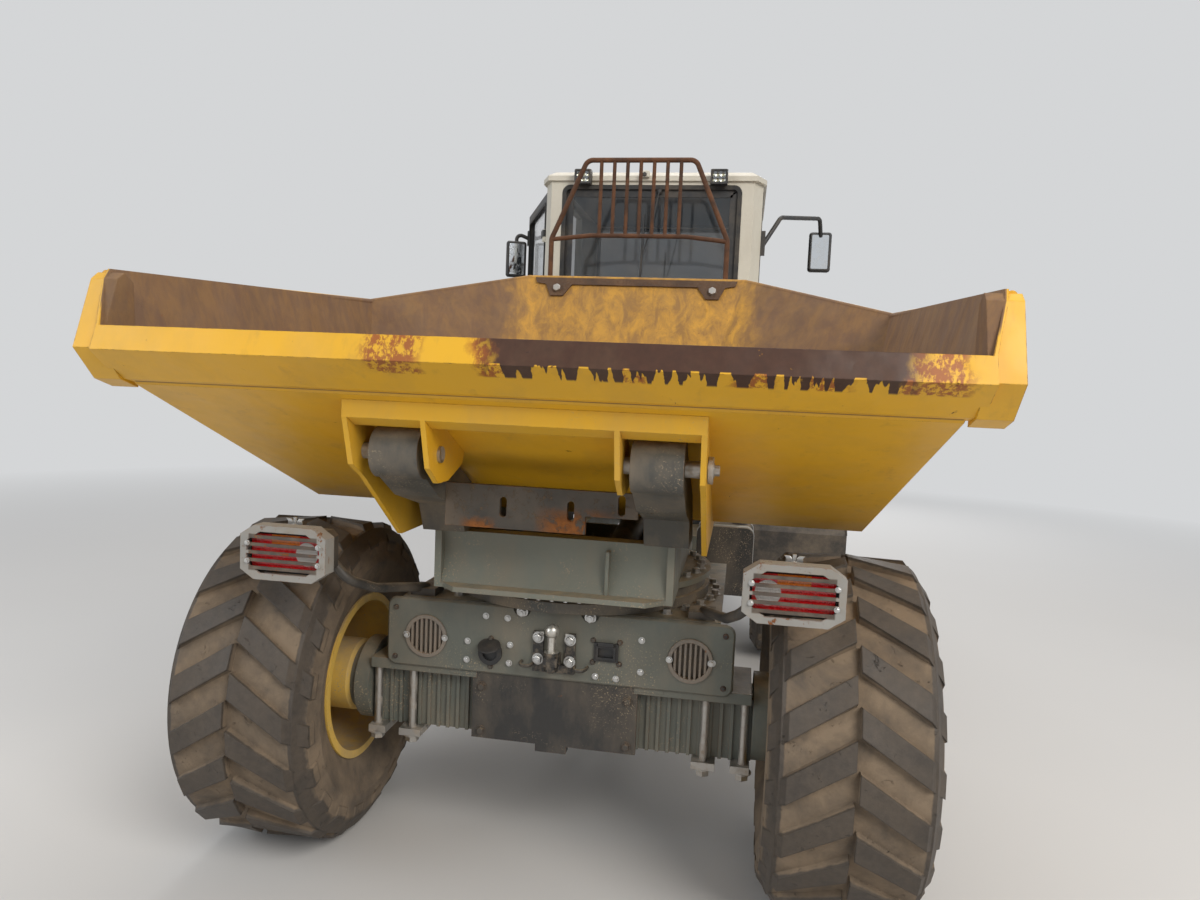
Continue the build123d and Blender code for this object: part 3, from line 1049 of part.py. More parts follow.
def engine_block():
    """Engine, gearbox and pumps as one plain block, on feet between the rails."""
    low, high, deep = ENGINE_FOOT
    feet = [block(-RAIL_INNER_X, RAIL_INNER_X, at(y), at(y + deep), low, high)
            for y in (ENGINE_START + 60, ENGINE_END - 120)]
    return joined(block(-ENGINE_HALF_WIDTH, ENGINE_HALF_WIDTH, at(ENGINE_START), at(ENGINE_END),
                        RAIL_BOTTOM_Z - 30, ENGINE_TOP_Z), feet)


# Wheels

def tyre_carcass():
    """Skin, shoulders and beads turned about the axle, open inside down to the rim."""
    w, t = TYRE_WIDTH / 2, TREAD_HALF_WIDTH
    base = TYRE_RADIUS - TREAD_DEPTH
    bead = RIM_RADIUS + SEAT_GAP
    seat = RIM_HALF_WIDTH - 8 - SEAT_GAP
    top = RIM_FLANGE_RADIUS + 2
    half = [(seat, bead), (seat, top), (w, base - 125), (w - 8, base - 50), (t - 16, base)]
    lining = [(RIM_HALF_WIDTH - 40, bead), (w - 40, base - 125), (t - 50, base - 45)]
    outline = half + [(-a, r) for a, r in reversed(half)]
    outline += [(-a, r) for a, r in lining] + list(reversed(lining))
    return turned("x", (0, 0, 0), outline)


def tyre_lug():
    """One tread lug: flat sections lofted from the crown out over the shoulder, sweeping round as they go."""
    sections = (  # across, turned by, fall below the crown, depth below its own top
        (LUG_START, 0.0, 0.0, TREAD_DEPTH + 8),
        (TREAD_HALF_WIDTH - 37, 12.0, 8.0, TREAD_DEPTH + 20),
        (TYRE_WIDTH / 2 - 1, 17.0, 78.0, TREAD_DEPTH + 10))
    outlines = []
    for across, turn, fall, depth in sections:
        crown = TYRE_RADIUS - fall
        corners = ((crown - depth, turn - LUG_FOOT_ANGLE), (crown, turn - LUG_TOP_ANGLE),
                   (crown, turn + LUG_TOP_ANGLE), (crown - depth, turn + LUG_FOOT_ANGLE))
        outline = [Vector(across, r * math.cos(math.radians(a)), r * math.sin(math.radians(a))) for r, a in corners]
        outlines.append(Wire.make_polygon(outline, close=True))
    return Solid.make_loft(outlines, ruled=True)


def tyre():
    """A traction tyre about the origin, its two rows of lugs half a pitch apart. One lug's corner points down."""
    pitch = 360.0 / LUGS_PER_SIDE
    lug = tyre_lug().rotate(Axis.X, 270 - LUG_TOP_ANGLE)
    lugs = []
    for i in range(LUGS_PER_SIDE):
        lugs.append(lug.rotate(Axis.X, i * pitch))
        lugs.append(mirrored(lug).rotate(Axis.X, (i + 0.5) * pitch))
    return joined(tyre_carcass(), lugs)


def rim(x, y, sign):
    """A drop-centre rim with its disc and the hub that carries it."""
    h, r, f = RIM_HALF_WIDTH, RIM_RADIUS, RIM_FLANGE_RADIUS
    barrel = [(-h, f), (-h + 8, f), (-h + 8, r), (h - 8, r), (h - 8, f), (h, f), (h, r - RIM_WALL), (-h, r - RIM_WALL)]
    body = turned("x", (x, y, AXLE_Z), barrel)
    d0 = sign * DISC_OFFSET
    disc = rod((x + d0, y, AXLE_Z), (x + d0 + sign * DISC_THICKNESS, y, AXLE_Z), r - RIM_WALL + 1)
    hub = turned("x", (x, y, AXLE_Z), [(-sign * HUB_INNER, 0), (-sign * HUB_INNER, HUB_RADIUS - 12),
                                       (-sign * (HUB_INNER - 12), HUB_RADIUS), (sign * (HUB_OUTER - 50), HUB_RADIUS),
                                       (sign * (HUB_OUTER - 8), HUB_RADIUS - 38), (sign * HUB_OUTER, HUB_RADIUS - 60),
                                       (sign * HUB_OUTER, 0)])
    return joined(body, disc, hub)


# Every node

write("rear_chassis", rear_chassis())
write("bumper_plate", bumper_plate())
write("bumper_grilles", bumper_grille(-GRILLE_X), bumper_grille(GRILLE_X))
write("tow_hitch", tow_hitch())
write("trailer_sockets", *trailer_sockets())
write("rear_axle", axle(REAR_AXLE_Y, 1))
write("axle_clamps", *axle_clamps())
write("axle_guard", axle_guard())
write("slew_ring_lower", ring((0, SWIVEL_Y), RING_RADIUS, RING_BORE, RING_FOOT_Z, RACE_LOW_TOP))
write("lamp_arms", *pair(lamp_arm()))
write("tail_lamp_boxes", *pair(tail_lamp_box()))
write("tail_lamp_lenses", *pair(tail_lamp_lens()))
write("lamp_guards", *pair(lamp_guard()))
write("slew_ring_upper", ring((0, SWIVEL_Y), RING_RADIUS - 14, RING_BORE, RACE_HIGH_FOOT, BASE_Z))
write("swivel_frame", swivel_frame())
write("slotted_plate", slotted_plate())
write("tip_lugs", *pair(tip_lug()))
write("skip_tub", skip_tub())
write("skip_ribs", skip_ribs())
write("tip_pins", *pair(tip_pin()))
write("headboard_shield", headboard_shield())
write("guard_rack", guard_rack())
write("safety_prop", safety_prop())
tip_pairs = [tip_cylinder(s * TIP_CYLINDER_X) for s in (-1, 1)]
write("tip_barrels", *[barrel for barrel, piston in tip_pairs])
write("tip_rods", *[piston for barrel, piston in tip_pairs])
for side, sign in (("left", -1), ("right", 1)):
    barrel, piston = steer_cylinder(sign)
    write(f"steer_barrel_{side}", barrel)
    write(f"steer_rod_{side}", piston)
write("front_chassis", front_chassis())
write("front_axle", axle(FRONT_AXLE_Y, -1))
write("front_fenders", front_fender(-1), front_fender(1))
write("front_bumper", front_bumper())
write("head_lamps", *head_lamps())
write("engine_block", engine_block())
write("side_tanks", *side_tanks())
write("cab_steps", cab_steps())
shell, mounts = cab_shell()
write("cab_shell", shell)
write("cab_mounts", *mounts)
write("cab_roof", cab_roof())
write("cab_glass", *cab_glass())
write("operator_seat", operator_seat())
write("steering_console", steering_console())
write("side_mirror", side_mirror())
write("door_mirror", door_mirror())
write("work_lamps", work_lamp(-390), work_lamp(390))
write("exhaust_stack", exhaust_stack())
write("door_frame", door("frame"))
write("door_glass", door("glass"))
write("hood_shell", hood_shell())
write("hood_grille", hood_grille())
right_tyre = tyre()
for end, y in (("rear", REAR_AXLE_Y), ("front", FRONT_AXLE_Y)):
    for side, sign in (("left", -1), ("right", 1)):
        tread = right_tyre if sign > 0 else mirrored(right_tyre)
        write(f"tyre_{end}_{side}", tread.moved(Location((sign * TRACK / 2, y, AXLE_Z))))
        write(f"rim_{end}_{side}", rim(sign * TRACK / 2, y, sign))
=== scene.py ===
"""Looks of a used swivel site dumper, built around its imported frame."""

import logging
import math
from collections.abc import Callable, Iterator
from contextlib import contextmanager
from dataclasses import dataclass
from enum import Enum

import bpy
from mathutils import Matrix, Vector


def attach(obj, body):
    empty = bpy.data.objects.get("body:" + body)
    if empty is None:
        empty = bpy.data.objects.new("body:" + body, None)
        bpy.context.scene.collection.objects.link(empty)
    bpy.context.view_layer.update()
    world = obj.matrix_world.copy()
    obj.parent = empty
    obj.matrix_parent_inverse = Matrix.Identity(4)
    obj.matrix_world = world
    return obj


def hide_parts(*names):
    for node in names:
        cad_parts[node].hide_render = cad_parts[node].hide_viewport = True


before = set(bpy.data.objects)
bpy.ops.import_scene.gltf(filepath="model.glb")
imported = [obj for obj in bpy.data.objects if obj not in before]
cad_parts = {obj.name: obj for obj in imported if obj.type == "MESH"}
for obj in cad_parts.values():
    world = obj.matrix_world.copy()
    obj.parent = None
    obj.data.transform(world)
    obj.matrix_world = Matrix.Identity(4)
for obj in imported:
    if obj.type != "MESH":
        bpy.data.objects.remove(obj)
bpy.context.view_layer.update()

logging.basicConfig(level=logging.INFO, format="%(message)s")
log = logging.getLogger("dumper")

REAR_AXLE_Y = -1.780
FRONT_AXLE_Y = 0.920
SWIVEL_Y = -1.480
CAB_REAR_Y = 0.220
AXLE_Z = 0.585
TRACK_X = 0.968
SIDES = (("left", -1), ("right", 1))
UP, DOWN, BACK, AHEAD = (0.0, 0.0, 1.0), (0.0, 0.0, -1.0), (0.0, -1.0, 0.0), (0.0, 1.0, 0.0)
QUARTER = math.pi / 2
Point = tuple[float, float, float]
Colour = tuple[float, float, float]
Piece, Face, Material = bpy.types.Object, bpy.types.MeshPolygon, bpy.types.Material
Socket = bpy.types.NodeSocket


def from_axle(offset: float) -> float:
    """Y of a station given in metres from the rear axle."""
    return REAR_AXLE_Y + offset


def times(colour: Colour, factor: float) -> Colour:
    """A colour made lighter or darker by a factor."""
    return tuple(channel * factor for channel in colour)


# Materials


class Rust(Enum):
    """Colours that bare steel on the machine weathers to."""

    ORANGE = (0.30, 0.095, 0.018)
    BROWN = (0.105, 0.042, 0.018)
    DARK = (0.040, 0.022, 0.014)


DUST: Colour = (0.30, 0.235, 0.165)
MUD: Colour = (0.40, 0.31, 0.20)


class Shader:
    """One material or world, put together node by node on Object coordinates."""

    def __init__(self, owner: Material | bpy.types.World, surface: str = "Principled BSDF") -> None:
        """Starts on a material or world that holds only its surface shader."""
        self.owner = owner
        owner.use_nodes = True
        self.tree = owner.node_tree
        self.surface = self.tree.nodes[surface].inputs
        coordinates = self.add("TexCoord").outputs
        self.place, self.normal = coordinates["Object"], coordinates["Normal"]

    def add(self, kind: str, sockets: dict[int | str, object] | None = None,
            **settings: object) -> bpy.types.Node:
        """Adds a node.

        Args:
            kind: The node's type, without the prefix ShaderNode.
            sockets: What goes into its inputs, by name or number.
            settings: Properties to set on the node.

        Returns:
            The new node.
        """
        node = self.tree.nodes.new(f"ShaderNode{kind}")
        for key, value in settings.items():
            setattr(node, key, value)
        for key, value in (sockets or {}).items():
            self.put(node.inputs[key], value)
        return node

    def put(self, socket: Socket, value: object) -> None:
        """Links a socket's value, or sets it where it is a plain number, vector or colour."""
        if isinstance(value, Socket):
            self.tree.links.new(value, socket)
        elif socket.type == "RGBA":
            socket.default_value = (*value, 1.0)
        else:
            socket.default_value = value

    def calc(self, operation: str, a: object, b: object = 0.0) -> Socket:
        """One step of arithmetic on two values."""
        return self.add("Math", {0: a, 1: b}, operation=operation).outputs[0]

    def both(self, *masks: object) -> Socket:
        """The overlap of masks, which is their product."""
        value = masks[0]
        for mask in masks[1:]:
            value = self.calc("MULTIPLY", value, mask)
        return value

    def either(self, a: object, b: object) -> Socket:
        """The stronger of two masks."""
        return self.calc("MAXIMUM", a, b)

    def plus(self, a: object, b: object) -> Socket:
        """The sum of two values."""
        return self.calc("ADD", a, b)

    def less(self, a: object, b: object) -> Socket:
        """The first value less the second."""
        return self.calc("SUBTRACT", a, b)

    def apart(self, a: object, b: object = 0.0) -> Socket:
        """The distance between two values."""
        return self.calc("ABSOLUTE", self.less(a, b))

    def reach(self, a: object, b: object) -> Socket:
        """The length of a line with two given components."""
        return self.calc("SQRT", self.plus(self.calc("POWER", a, 2.0), self.calc("POWER", b, 2.0)))

    def measure(self, operation: str, a: object, b: object = (0.0, 0.0, 0.0)) -> Socket:
        """One number worked out from two vectors."""
        return self.add("VectorMath", {0: a, 1: b}, operation=operation).outputs["Value"]

    def axis(self, index: int, vector: Socket | None = None) -> Socket:
        """X, Y or Z of a vector, or of the point being shaded in metres."""
        return self.add("SeparateXYZ", {0: vector or self.place}).outputs[index]

    def noise(self, scale: float, detail: float = 4.0, rough: float = 0.6, distort: float = 0.0,
              stretch: Point = (1.0, 1.0, 1.0), shift: float = 0.0) -> Socket:
        """Cloudy noise from 0 to 1.

        Args:
            scale: Features per metre.
            detail: Octaves.
            rough: Strength of the fine octaves.
            distort: How far the pattern swirls.
            stretch: Scale along each axis, where under 1 draws the pattern out.
            shift: Moves the pattern, so that two layers don't match.

        Returns:
            The noise value.
        """
        moved = self.add("Mapping", {"Vector": self.place, "Scale": stretch,
                                               "Location": (shift, shift * 0.7, shift * 1.3)})
        return self.add("TexNoise", {"Vector": moved.outputs[0], "Scale": scale, "Detail": detail,
                                               "Roughness": rough, "Distortion": distort}).outputs[0]

    def cells(self, scale: float, shift: float = 0.0, random: float = 1.0) -> Socket:
        """Distance to the nearest of many scattered points."""
        moved = self.add("Mapping", {"Vector": self.place, "Location": (shift, shift, shift)})
        return self.add("TexVoronoi", {"Vector": moved.outputs[0], "Scale": scale, "Randomness": random},
                        feature="F1").outputs["Distance"]

    def ribs(self, scale: float) -> Socket:
        """Waves along X."""
        return self.add("TexWave", {"Vector": self.place, "Scale": scale}, wave_type="BANDS",
                        bands_direction="X").outputs["Fac"]

    def span(self, value: object, low: float, high: float,
             to_low: float = 0.0, to_high: float = 1.0) -> Socket:
        """Carries the range low to high over to another range, with clamped ends."""
        return self.add("MapRange", {"Value": value, "From Min": low, "From Max": high, "To Min": to_low,
                                               "To Max": to_high}, clamp=True).outputs[0]

    def blend(self, share: object, a: object, b: object) -> Socket:
        """Mixes two colours by a share from 0 to 1."""
        return self.add("Mix", {0: share, 6: a, 7: b}, data_type="RGBA").outputs[2]

    def wobble(self, width: float, *pattern: float, shift: float = 0.0) -> Socket:
        """Noise about 0, to make a mask's edge ragged."""
        return self.both(self.less(self.noise(*pattern, shift=shift), 0.5), width)

    def seen(self) -> Socket:
        """A mask of what the camera sees, straight or in a gloss."""
        rays = self.add("LightPath").outputs
        return self.either(rays["Is Camera Ray"], rays["Is Glossy Ray"])

    def rust(self) -> Socket:
        """The colour of rust."""
        return self.blend(self.noise(70, 5, shift=7), Rust.BROWN.value, Rust.ORANGE.value)

    def softened(self, radius: float) -> Socket:
        """The surface's direction, with sharp edges rounded off."""
        return self.add("Bevel", {"Radius": radius}, samples=4).outputs[0]

    def worn(self, width: float, scale: float = 38, low: float = 0.45, high: float = 0.60,
             shift: float = 1.5) -> Socket:
        """A mask of sharp edges rubbed bare here and there, within width metres of them."""
        plain = self.add("NewGeometry").outputs["Normal"]
        edges = self.span(self.measure("DOT_PRODUCT", self.softened(width), plain), 0.985, 0.86)
        return self.both(edges, self.span(self.noise(scale, 5, shift=shift), low, high))

    def relief(self, height: object, depth: float, round_edges: float = 0.0) -> None:
        """Raises the surface's shading by a height pattern.

        Args:
            height: A value from 0 to 1.
            depth: Metres between the pattern's 0 and 1.
            round_edges: Radius that sharp edges are shaded with.
        """
        sockets = {"Distance": depth, "Strength": 1.0, "Height": height}
        if round_edges > 0:
            sockets["Normal"] = self.softened(round_edges)
        self.put(self.surface["Normal"], self.add("Bump", sockets).outputs[0])

    def finish(self, colour: object, roughness: object, metallic: object = 0.0,
               more: dict[str, object] | None = None) -> Material:
        """Fills the surface shader's sockets and returns the material."""
        sockets = {"Base Color": colour, "Roughness": roughness, "Metallic": metallic, **(more or {})}
        for key, value in sockets.items():
            self.put(self.surface[key], value)
        return self.owner


class Finish:
    """What a surface is made of. Each kind builds its own layers."""

    def layers(self, s: Shader) -> Material:
        """Builds the layers on an empty material."""
        raise NotImplementedError


@dataclass(frozen=True)
class PaintedSteel(Finish):
    """Paint over steel, with worn edges, rust spots, dust and specks of mud."""

    colour: Colour
    faded: Colour
    rust: float
    dust: float
    wear: float = 0.6
    roughness: float = 0.5
    edge: float = 0.003

    def layers(self, s: Shader) -> Material:
        """Builds the paint, its wear, its rust, its dust and its mud."""
        paint = s.blend(s.noise(1.6, 3), self.colour, self.faded)
        paint = s.blend(s.span(s.noise(55, 3, shift=3), 0.35, 0.75, 0.0, 0.35), paint, self.faded)
        worn = s.both(s.worn(self.edge, 38, 0.42, 0.56), self.wear)
        lowest = 0.74 - self.rust * 0.3
        bare = s.either(worn, s.span(s.noise(16, 8, 0.72, 0.4, shift=5), lowest, lowest + 0.06))
        grime = s.span(s.noise(5, 6, 0.65, stretch=(1, 1, 0.45), shift=9), 0.42, 0.72, 0.0, self.dust)
        colour = s.blend(grime, s.blend(bare, paint, s.rust()), DUST)
        on_top = s.span(s.axis(2, s.normal), 0.55, 0.92)
        settled = s.both(on_top, s.span(s.noise(14, 6, 0.7, shift=23), 0.30, 0.62), min(1.0, self.dust * 1.5))
        mud = s.both(s.span(s.noise(150, 3, 0.6, shift=15), 0.585, 0.64),
                     s.span(s.noise(4.5, 4, 0.7, shift=19), 0.50, 0.64, 0.0, min(1.0, self.dust * 2.2)))
        fine = s.span(s.noise(260, 2, shift=2), 0.3, 0.7)
        s.relief(s.less(s.both(fine, 0.12), bare), 0.0006, self.edge)
        rough = s.span(s.either(bare, grime), 0.0, 0.6, self.roughness, min(1.0, self.roughness + 0.35))
        return s.finish(s.blend(s.either(settled, mud), colour, MUD), rough)


@dataclass(frozen=True)
class RustySteel(Finish):
    """Bare steel under an even coat of rust."""

    light: Colour
    dark: Colour = Rust.DARK.value

    def layers(self, s: Shader) -> Material:
        """Builds the rust with its pits and flakes."""
        patches = s.span(s.noise(9, 7, 0.7, 0.6), 0.36, 0.66)
        flakes = s.span(s.noise(110, 4, 0.7, shift=4), 0.3, 0.7)
        colour = s.blend(s.both(flakes, 0.55), s.blend(patches, self.dark, self.light), Rust.BROWN.value)
        s.relief(flakes, 0.0009, 0.002)
        return s.finish(colour, s.span(flakes, 0, 1, 0.72, 0.95))


@dataclass(frozen=True)
class BrightSteel(Finish):
    """Zinc plate or hard chrome, with a film of dust."""

    colour: Colour = (0.56, 0.56, 0.55)
    roughness: float = 0.28
    dust: float = 0.35

    def layers(self, s: Shader) -> Material:
        """Builds the metal and its film."""
        film = s.span(s.noise(30, 6, 0.7), 0.45, 0.7, 0.0, self.dust)
        s.relief(s.noise(420, 2, 0.5, stretch=(1, 0.06, 1), shift=3), 0.00012, 0.0012)
        return s.finish(s.blend(film, self.colour, DUST), s.span(film, 0, 0.6, self.roughness, 0.8),
                        s.span(film, 0, 0.5, 1.0, 0.25))


@dataclass(frozen=True)
class Moulding(Finish):
    """Moulded plastic or rubber, finely grained and dusty."""

    colour: Colour
    roughness: float
    dust: float

    def layers(self, s: Shader) -> Material:
        """Builds the grain and the dust."""
        grime = s.span(s.noise(7, 6, 0.68, shift=6), 0.44, 0.74, 0.0, self.dust)
        s.relief(s.cells(900), 0.0002, 0.0015)
        plain = s.blend(s.noise(3, 3), self.colour, times(self.colour, 1.25))
        return s.finish(s.blend(grime, plain, DUST), s.span(grime, 0, 0.6, self.roughness, 0.9))


@dataclass(frozen=True)
class LampLens(Finish):
    """A lamp lens with a ribbed face."""

    colour: Colour

    def layers(self, s: Shader) -> Material:
        """Builds the clear plastic with its ribs."""
        s.relief(s.ribs(90.0), 0.0006, 0.003)
        film = s.span(s.noise(22, 6), 0.5, 0.78, 0.0, 0.45)
        return s.finish(s.blend(film, self.colour, DUST), s.span(film, 0, 0.5, 0.12, 0.6), 0.0,
                        {"Coat Weight": 0.6, "Emission Strength": 0.05, "Emission Color": self.colour})


@dataclass(frozen=True)
class CabGlass(Finish):
    """Tinted safety glass with a film of dust. The tint is made dark as painted shade of the cab's inside
    behind it.
    """

    # Partly the glass's own tint and partly painted shade: the dark colour stands for the shaded cab inside
    # seen through the pane.
    tint_and_painted_shade: Colour = (0.030, 0.040, 0.050)
    clear: float = 0.55

    def layers(self, s: Shader) -> Material:
        """Builds a thin pane that lets part of the light through."""
        film = s.span(s.noise(4, 6, 0.7), 0.40, 0.75, 0.0, 0.22)
        return s.finish(s.blend(film, self.tint_and_painted_shade, DUST), s.span(film, 0, 0.5, 0.05, 0.4), 0.0,
                        {"Coat Weight": 1.0, "Coat Roughness": 0.03,
                         "Alpha": s.span(film, 0, 0.5, 1.0 - self.clear, 0.70)})


@dataclass(frozen=True)
class SkipPaint(Finish):
    """Yellow paint on the skip's outside, a scoured load side and a dark spill that ran over the lip."""

    colour: Colour = (0.84, 0.44, 0.010)
    faded: Colour = (0.76, 0.43, 0.030)
    streaked: Colour = (0.42, 0.21, 0.035)
    scoured: Colour = (0.130, 0.072, 0.040)
    rubbed: Colour = (0.60, 0.315, 0.050)
    spill: Colour = (0.036, 0.014, 0.007)
    fresh_rust: Colour = (0.36, 0.105, 0.015)
    grime: Colour = (0.22, 0.15, 0.085)
    wall: float = 0.0045
    lip_y: float = -0.868
    fold_z: float = 1.756
    spill_from: float = -0.05
    spill_to: float = 0.99

    def depth(self, s: Shader) -> Socket:
        """How far a point lies inside the skip's outer faces, in metres."""
        point = s.add("CombineXYZ", {0: s.apart(s.axis(0)), 1: s.axis(1), 2: s.axis(2)}).outputs[0]
        # Three points of each outer face, with Y from the rear axle.
        faces = (((0.0, 0.120, 1.240), (1.0, 0.5, 1.240), (0.0, 0.9, 1.240)),
                 ((1.030, 0.0, 1.240), (1.216, 0.0, 2.075), (1.030, 0.5, 1.240)),
                 ((0.0, 1.060, 1.240), (0.0, 1.500, 2.275), (0.5, 1.060, 1.240)),
                 ((0.0, 0.120, 1.240), (0.0, -0.800, 1.677), (1.0, 0.120, 1.240)),
                 ((1.216, 0.950, 2.075), (0.570, 1.500, 2.275), (1.030, 0.560, 1.240)),
                 ((0.0, -0.880, 1.822), (0.0, -0.905, 1.756), (1.0, -0.880, 1.822)),
                 ((0.0, -0.905, 1.756), (0.0, -0.800, 1.677), (1.0, -0.905, 1.756)))
        inside = Vector((0.0, from_axle(0.4), 1.75))
        nearest: object = 1.0
        for corners in faces:
            a, b, c = (Vector((x, from_axle(y), z)) for x, y, z in corners)
            normal = (b - a).cross(c - a).normalized()
            if (inside - a).dot(normal) < 0:
                normal.negate()
            nearest = s.calc("MINIMUM", s.less(s.measure("DOT_PRODUCT", point, normal), a.dot(normal)),
                             nearest)
        return nearest

    def lip_marks(self, s: Shader) -> tuple[Socket, Socket]:
        """Masks of the dried spill and of the rust patches along the lip."""
        x, z = s.axis(0), s.axis(2)
        on_lip = s.span(s.axis(1), from_axle(self.lip_y + 0.006), from_axle(self.lip_y))
        place = s.plus(x, s.wobble(0.12, 9, 5, shift=11))
        band = s.both(s.span(place, self.spill_from - 0.02, self.spill_from + 0.02),
                      s.span(place, self.spill_to + 0.03, self.spill_to - 0.03))
        runs = s.add("TexNoise", {"W": s.plus(x, s.both(s.noise(30, 2), 0.012)), "Scale": 26.0,
                                            "Detail": 2.0}, noise_dimensions="1D")
        length = s.span(runs.outputs[0], 0.44, 0.74, -0.004, 0.085)
        drips = s.span(s.less(s.less(self.fold_z, z), length), 0.0015, -0.0015)
        gaps = s.span(s.noise(7, 6, 0.7, shift=21), 0.30, 0.36)
        spill = s.both(on_lip, band, drips, s.either(gaps, s.span(z, self.fold_z, self.fold_z - 0.01)))
        patches: object = 0.0
        for start, end in ((-0.36, -0.23), (-0.07, 0.0), (0.29, 0.35),
                           (0.57, 0.66), (0.75, 0.81), (0.96, 1.09)):
            patches = s.either(patches, s.both(s.span(place, start - 0.02, start + 0.01),
                                               s.span(place, end + 0.02, end - 0.01)))
        speckle = s.span(s.noise(48, 6, 0.75, stretch=(1, 1, 0.5), shift=13), 0.45, 0.53)
        return spill, s.both(on_lip, patches, speckle, s.span(z, self.fold_z - 0.075, self.fold_z - 0.03))

    def load_side(self, s: Shader) -> Socket:
        """The inside's colour, with paint left on the headboard's middle."""
        ragged = s.wobble(0.30, 8, 5, shift=41)
        middle = s.span(s.plus(s.apart(s.axis(0)), ragged), 0.68, 0.54)
        headward = s.both(middle, s.span(s.plus(s.axis(1), ragged), from_axle(1.00), from_axle(1.24)))
        rubs = s.span(s.noise(14, 8, 0.72, 0.5, stretch=(1, 1, 0.4), shift=3), 0.40, 0.62)
        left = s.either(s.both(headward, s.span(rubs, 0, 1, 0.35, 1.0)), s.both(rubs, 0.16))
        steel = s.blend(s.noise(6, 6, 0.7, shift=9), self.scoured, times(self.scoured, 1.7))
        flecks = s.span(s.noise(60, 7, 0.8, shift=8), 0.60, 0.66, 0.0, 0.55)
        return s.blend(flecks, s.blend(left, steel, self.rubbed), s.rust())

    def layers(self, s: Shader) -> Material:
        """Builds the paint, the load side, the marks on the lip and the grime."""
        inside = s.span(self.depth(s), self.wall - 0.001, self.wall + 0.001)
        paint = s.blend(s.noise(1.3, 3), self.colour, self.faded)
        streaks = s.span(s.noise(11, 5, 0.7, stretch=(1, 1, 0.16), shift=17), 0.58, 0.80, 0.0, 0.5)
        bare = s.either(s.worn(0.004, 30), s.span(s.noise(19, 8, 0.74, 0.4, shift=5), 0.675, 0.70))
        outside = s.blend(bare, s.blend(streaks, paint, self.streaked), s.rust())
        spill, patches = self.lip_marks(s)
        colour = s.blend(patches, s.blend(inside, outside, self.load_side(s)), self.fresh_rust)
        colour = s.blend(spill, colour, s.blend(s.noise(40, 5), self.spill, times(self.spill, 2.4)))
        film = s.span(s.noise(5, 6, 0.65, stretch=(1, 1, 0.45), shift=19), 0.46, 0.76, 0.0, 0.22)
        dents = s.span(s.noise(7, 2, 0.4, shift=31), 0.35, 0.7)
        texture = s.both(s.noise(190, 4, 0.7), s.span(inside, 0, 1, 0.10, 0.5))
        s.relief(s.less(s.plus(s.both(dents, 2.2), texture), bare), 0.0013, 0.004)
        rough = s.less(s.span(s.either(inside, bare), 0, 1, 0.42, 0.82), s.both(spill, 0.10))
        return s.finish(s.blend(film, colour, self.grime), rough)


@dataclass(frozen=True)
class SlottedSteel(Finish):
    """Black paint with rust breaking through near the lower edge, and mud splashes."""

    colour: Colour = (0.020, 0.020, 0.019)
    splash: Colour = (0.15, 0.105, 0.065)
    fresh_rust: Colour = (0.40, 0.14, 0.025)

    def layers(self, s: Shader) -> Material:
        """Builds the paint, two rust patches and the mud."""
        x, z = s.axis(0), s.axis(2)
        middle = s.both(s.span(x, -0.02, 0.05), s.span(x, 0.24, 0.18), s.span(z, 1.345, 1.300))
        small = s.both(s.span(x, -0.26, -0.22), s.span(x, -0.13, -0.17), s.span(z, 1.30, 1.27))
        ragged = s.span(s.noise(21, 7, 0.72, 0.3, shift=2), 0.40, 0.47)
        spots = s.span(s.noise(26, 8, 0.74, shift=5), 0.66, 0.69)
        bare = s.either(s.both(s.either(middle, small), ragged),
                        s.either(spots, s.worn(0.003, 33, shift=0.0)))
        mud = s.span(s.noise(34, 7, 0.78, shift=8), 0.55, 0.64, 0.0, 0.75)
        ends = s.span(s.apart(x), 0.23, 0.30, 0.0, 0.6)
        film = s.span(s.noise(5, 5, shift=12), 0.35, 0.75, 0.05, 0.35)
        colour = s.blend(s.either(mud, ends), s.blend(film, self.colour, DUST), self.splash)
        colour = s.blend(bare, colour, s.blend(s.noise(60, 4), Rust.BROWN.value, self.fresh_rust))
        s.relief(s.less(mud, bare), 0.0012, 0.003)
        return s.finish(colour, s.span(s.either(mud, bare), 0, 0.7, 0.5, 0.92))


@dataclass(frozen=True)
class TailLens(Finish):
    """A ribbed tail lamp lens: red, with an amber field above its middle and a round white one inboard."""

    middle: tuple[float, float] = (0.760, 1.163)
    red: Colour = (0.66, 0.010, 0.014)
    amber: Colour = (0.70, 0.16, 0.010)
    white: Colour = (0.66, 0.62, 0.58)

    def layers(self, s: Shader) -> Material:
        """Builds the three fields and their ribs."""
        along = s.less(s.apart(s.axis(0)), self.middle[0])
        up = s.less(s.axis(2), self.middle[1])
        round_field = s.span(s.reach(s.plus(along, 0.070), up), 0.037, 0.035)
        upper_field = s.both(s.span(s.apart(along), 0.047, 0.045), s.span(up, 0.020, 0.022))
        colour = s.blend(round_field, s.blend(upper_field, self.red, self.amber), self.white)
        film = s.span(s.noise(24, 6, 0.7), 0.50, 0.80, 0.0, 0.35)
        s.relief(s.plus(s.ribs(60.0), s.cells(170)), 0.0007, 0.003)
        return s.finish(s.blend(film, colour, DUST), s.span(film, 0, 0.5, 0.10, 0.6), 0.0,
                        {"Coat Weight": 0.7})


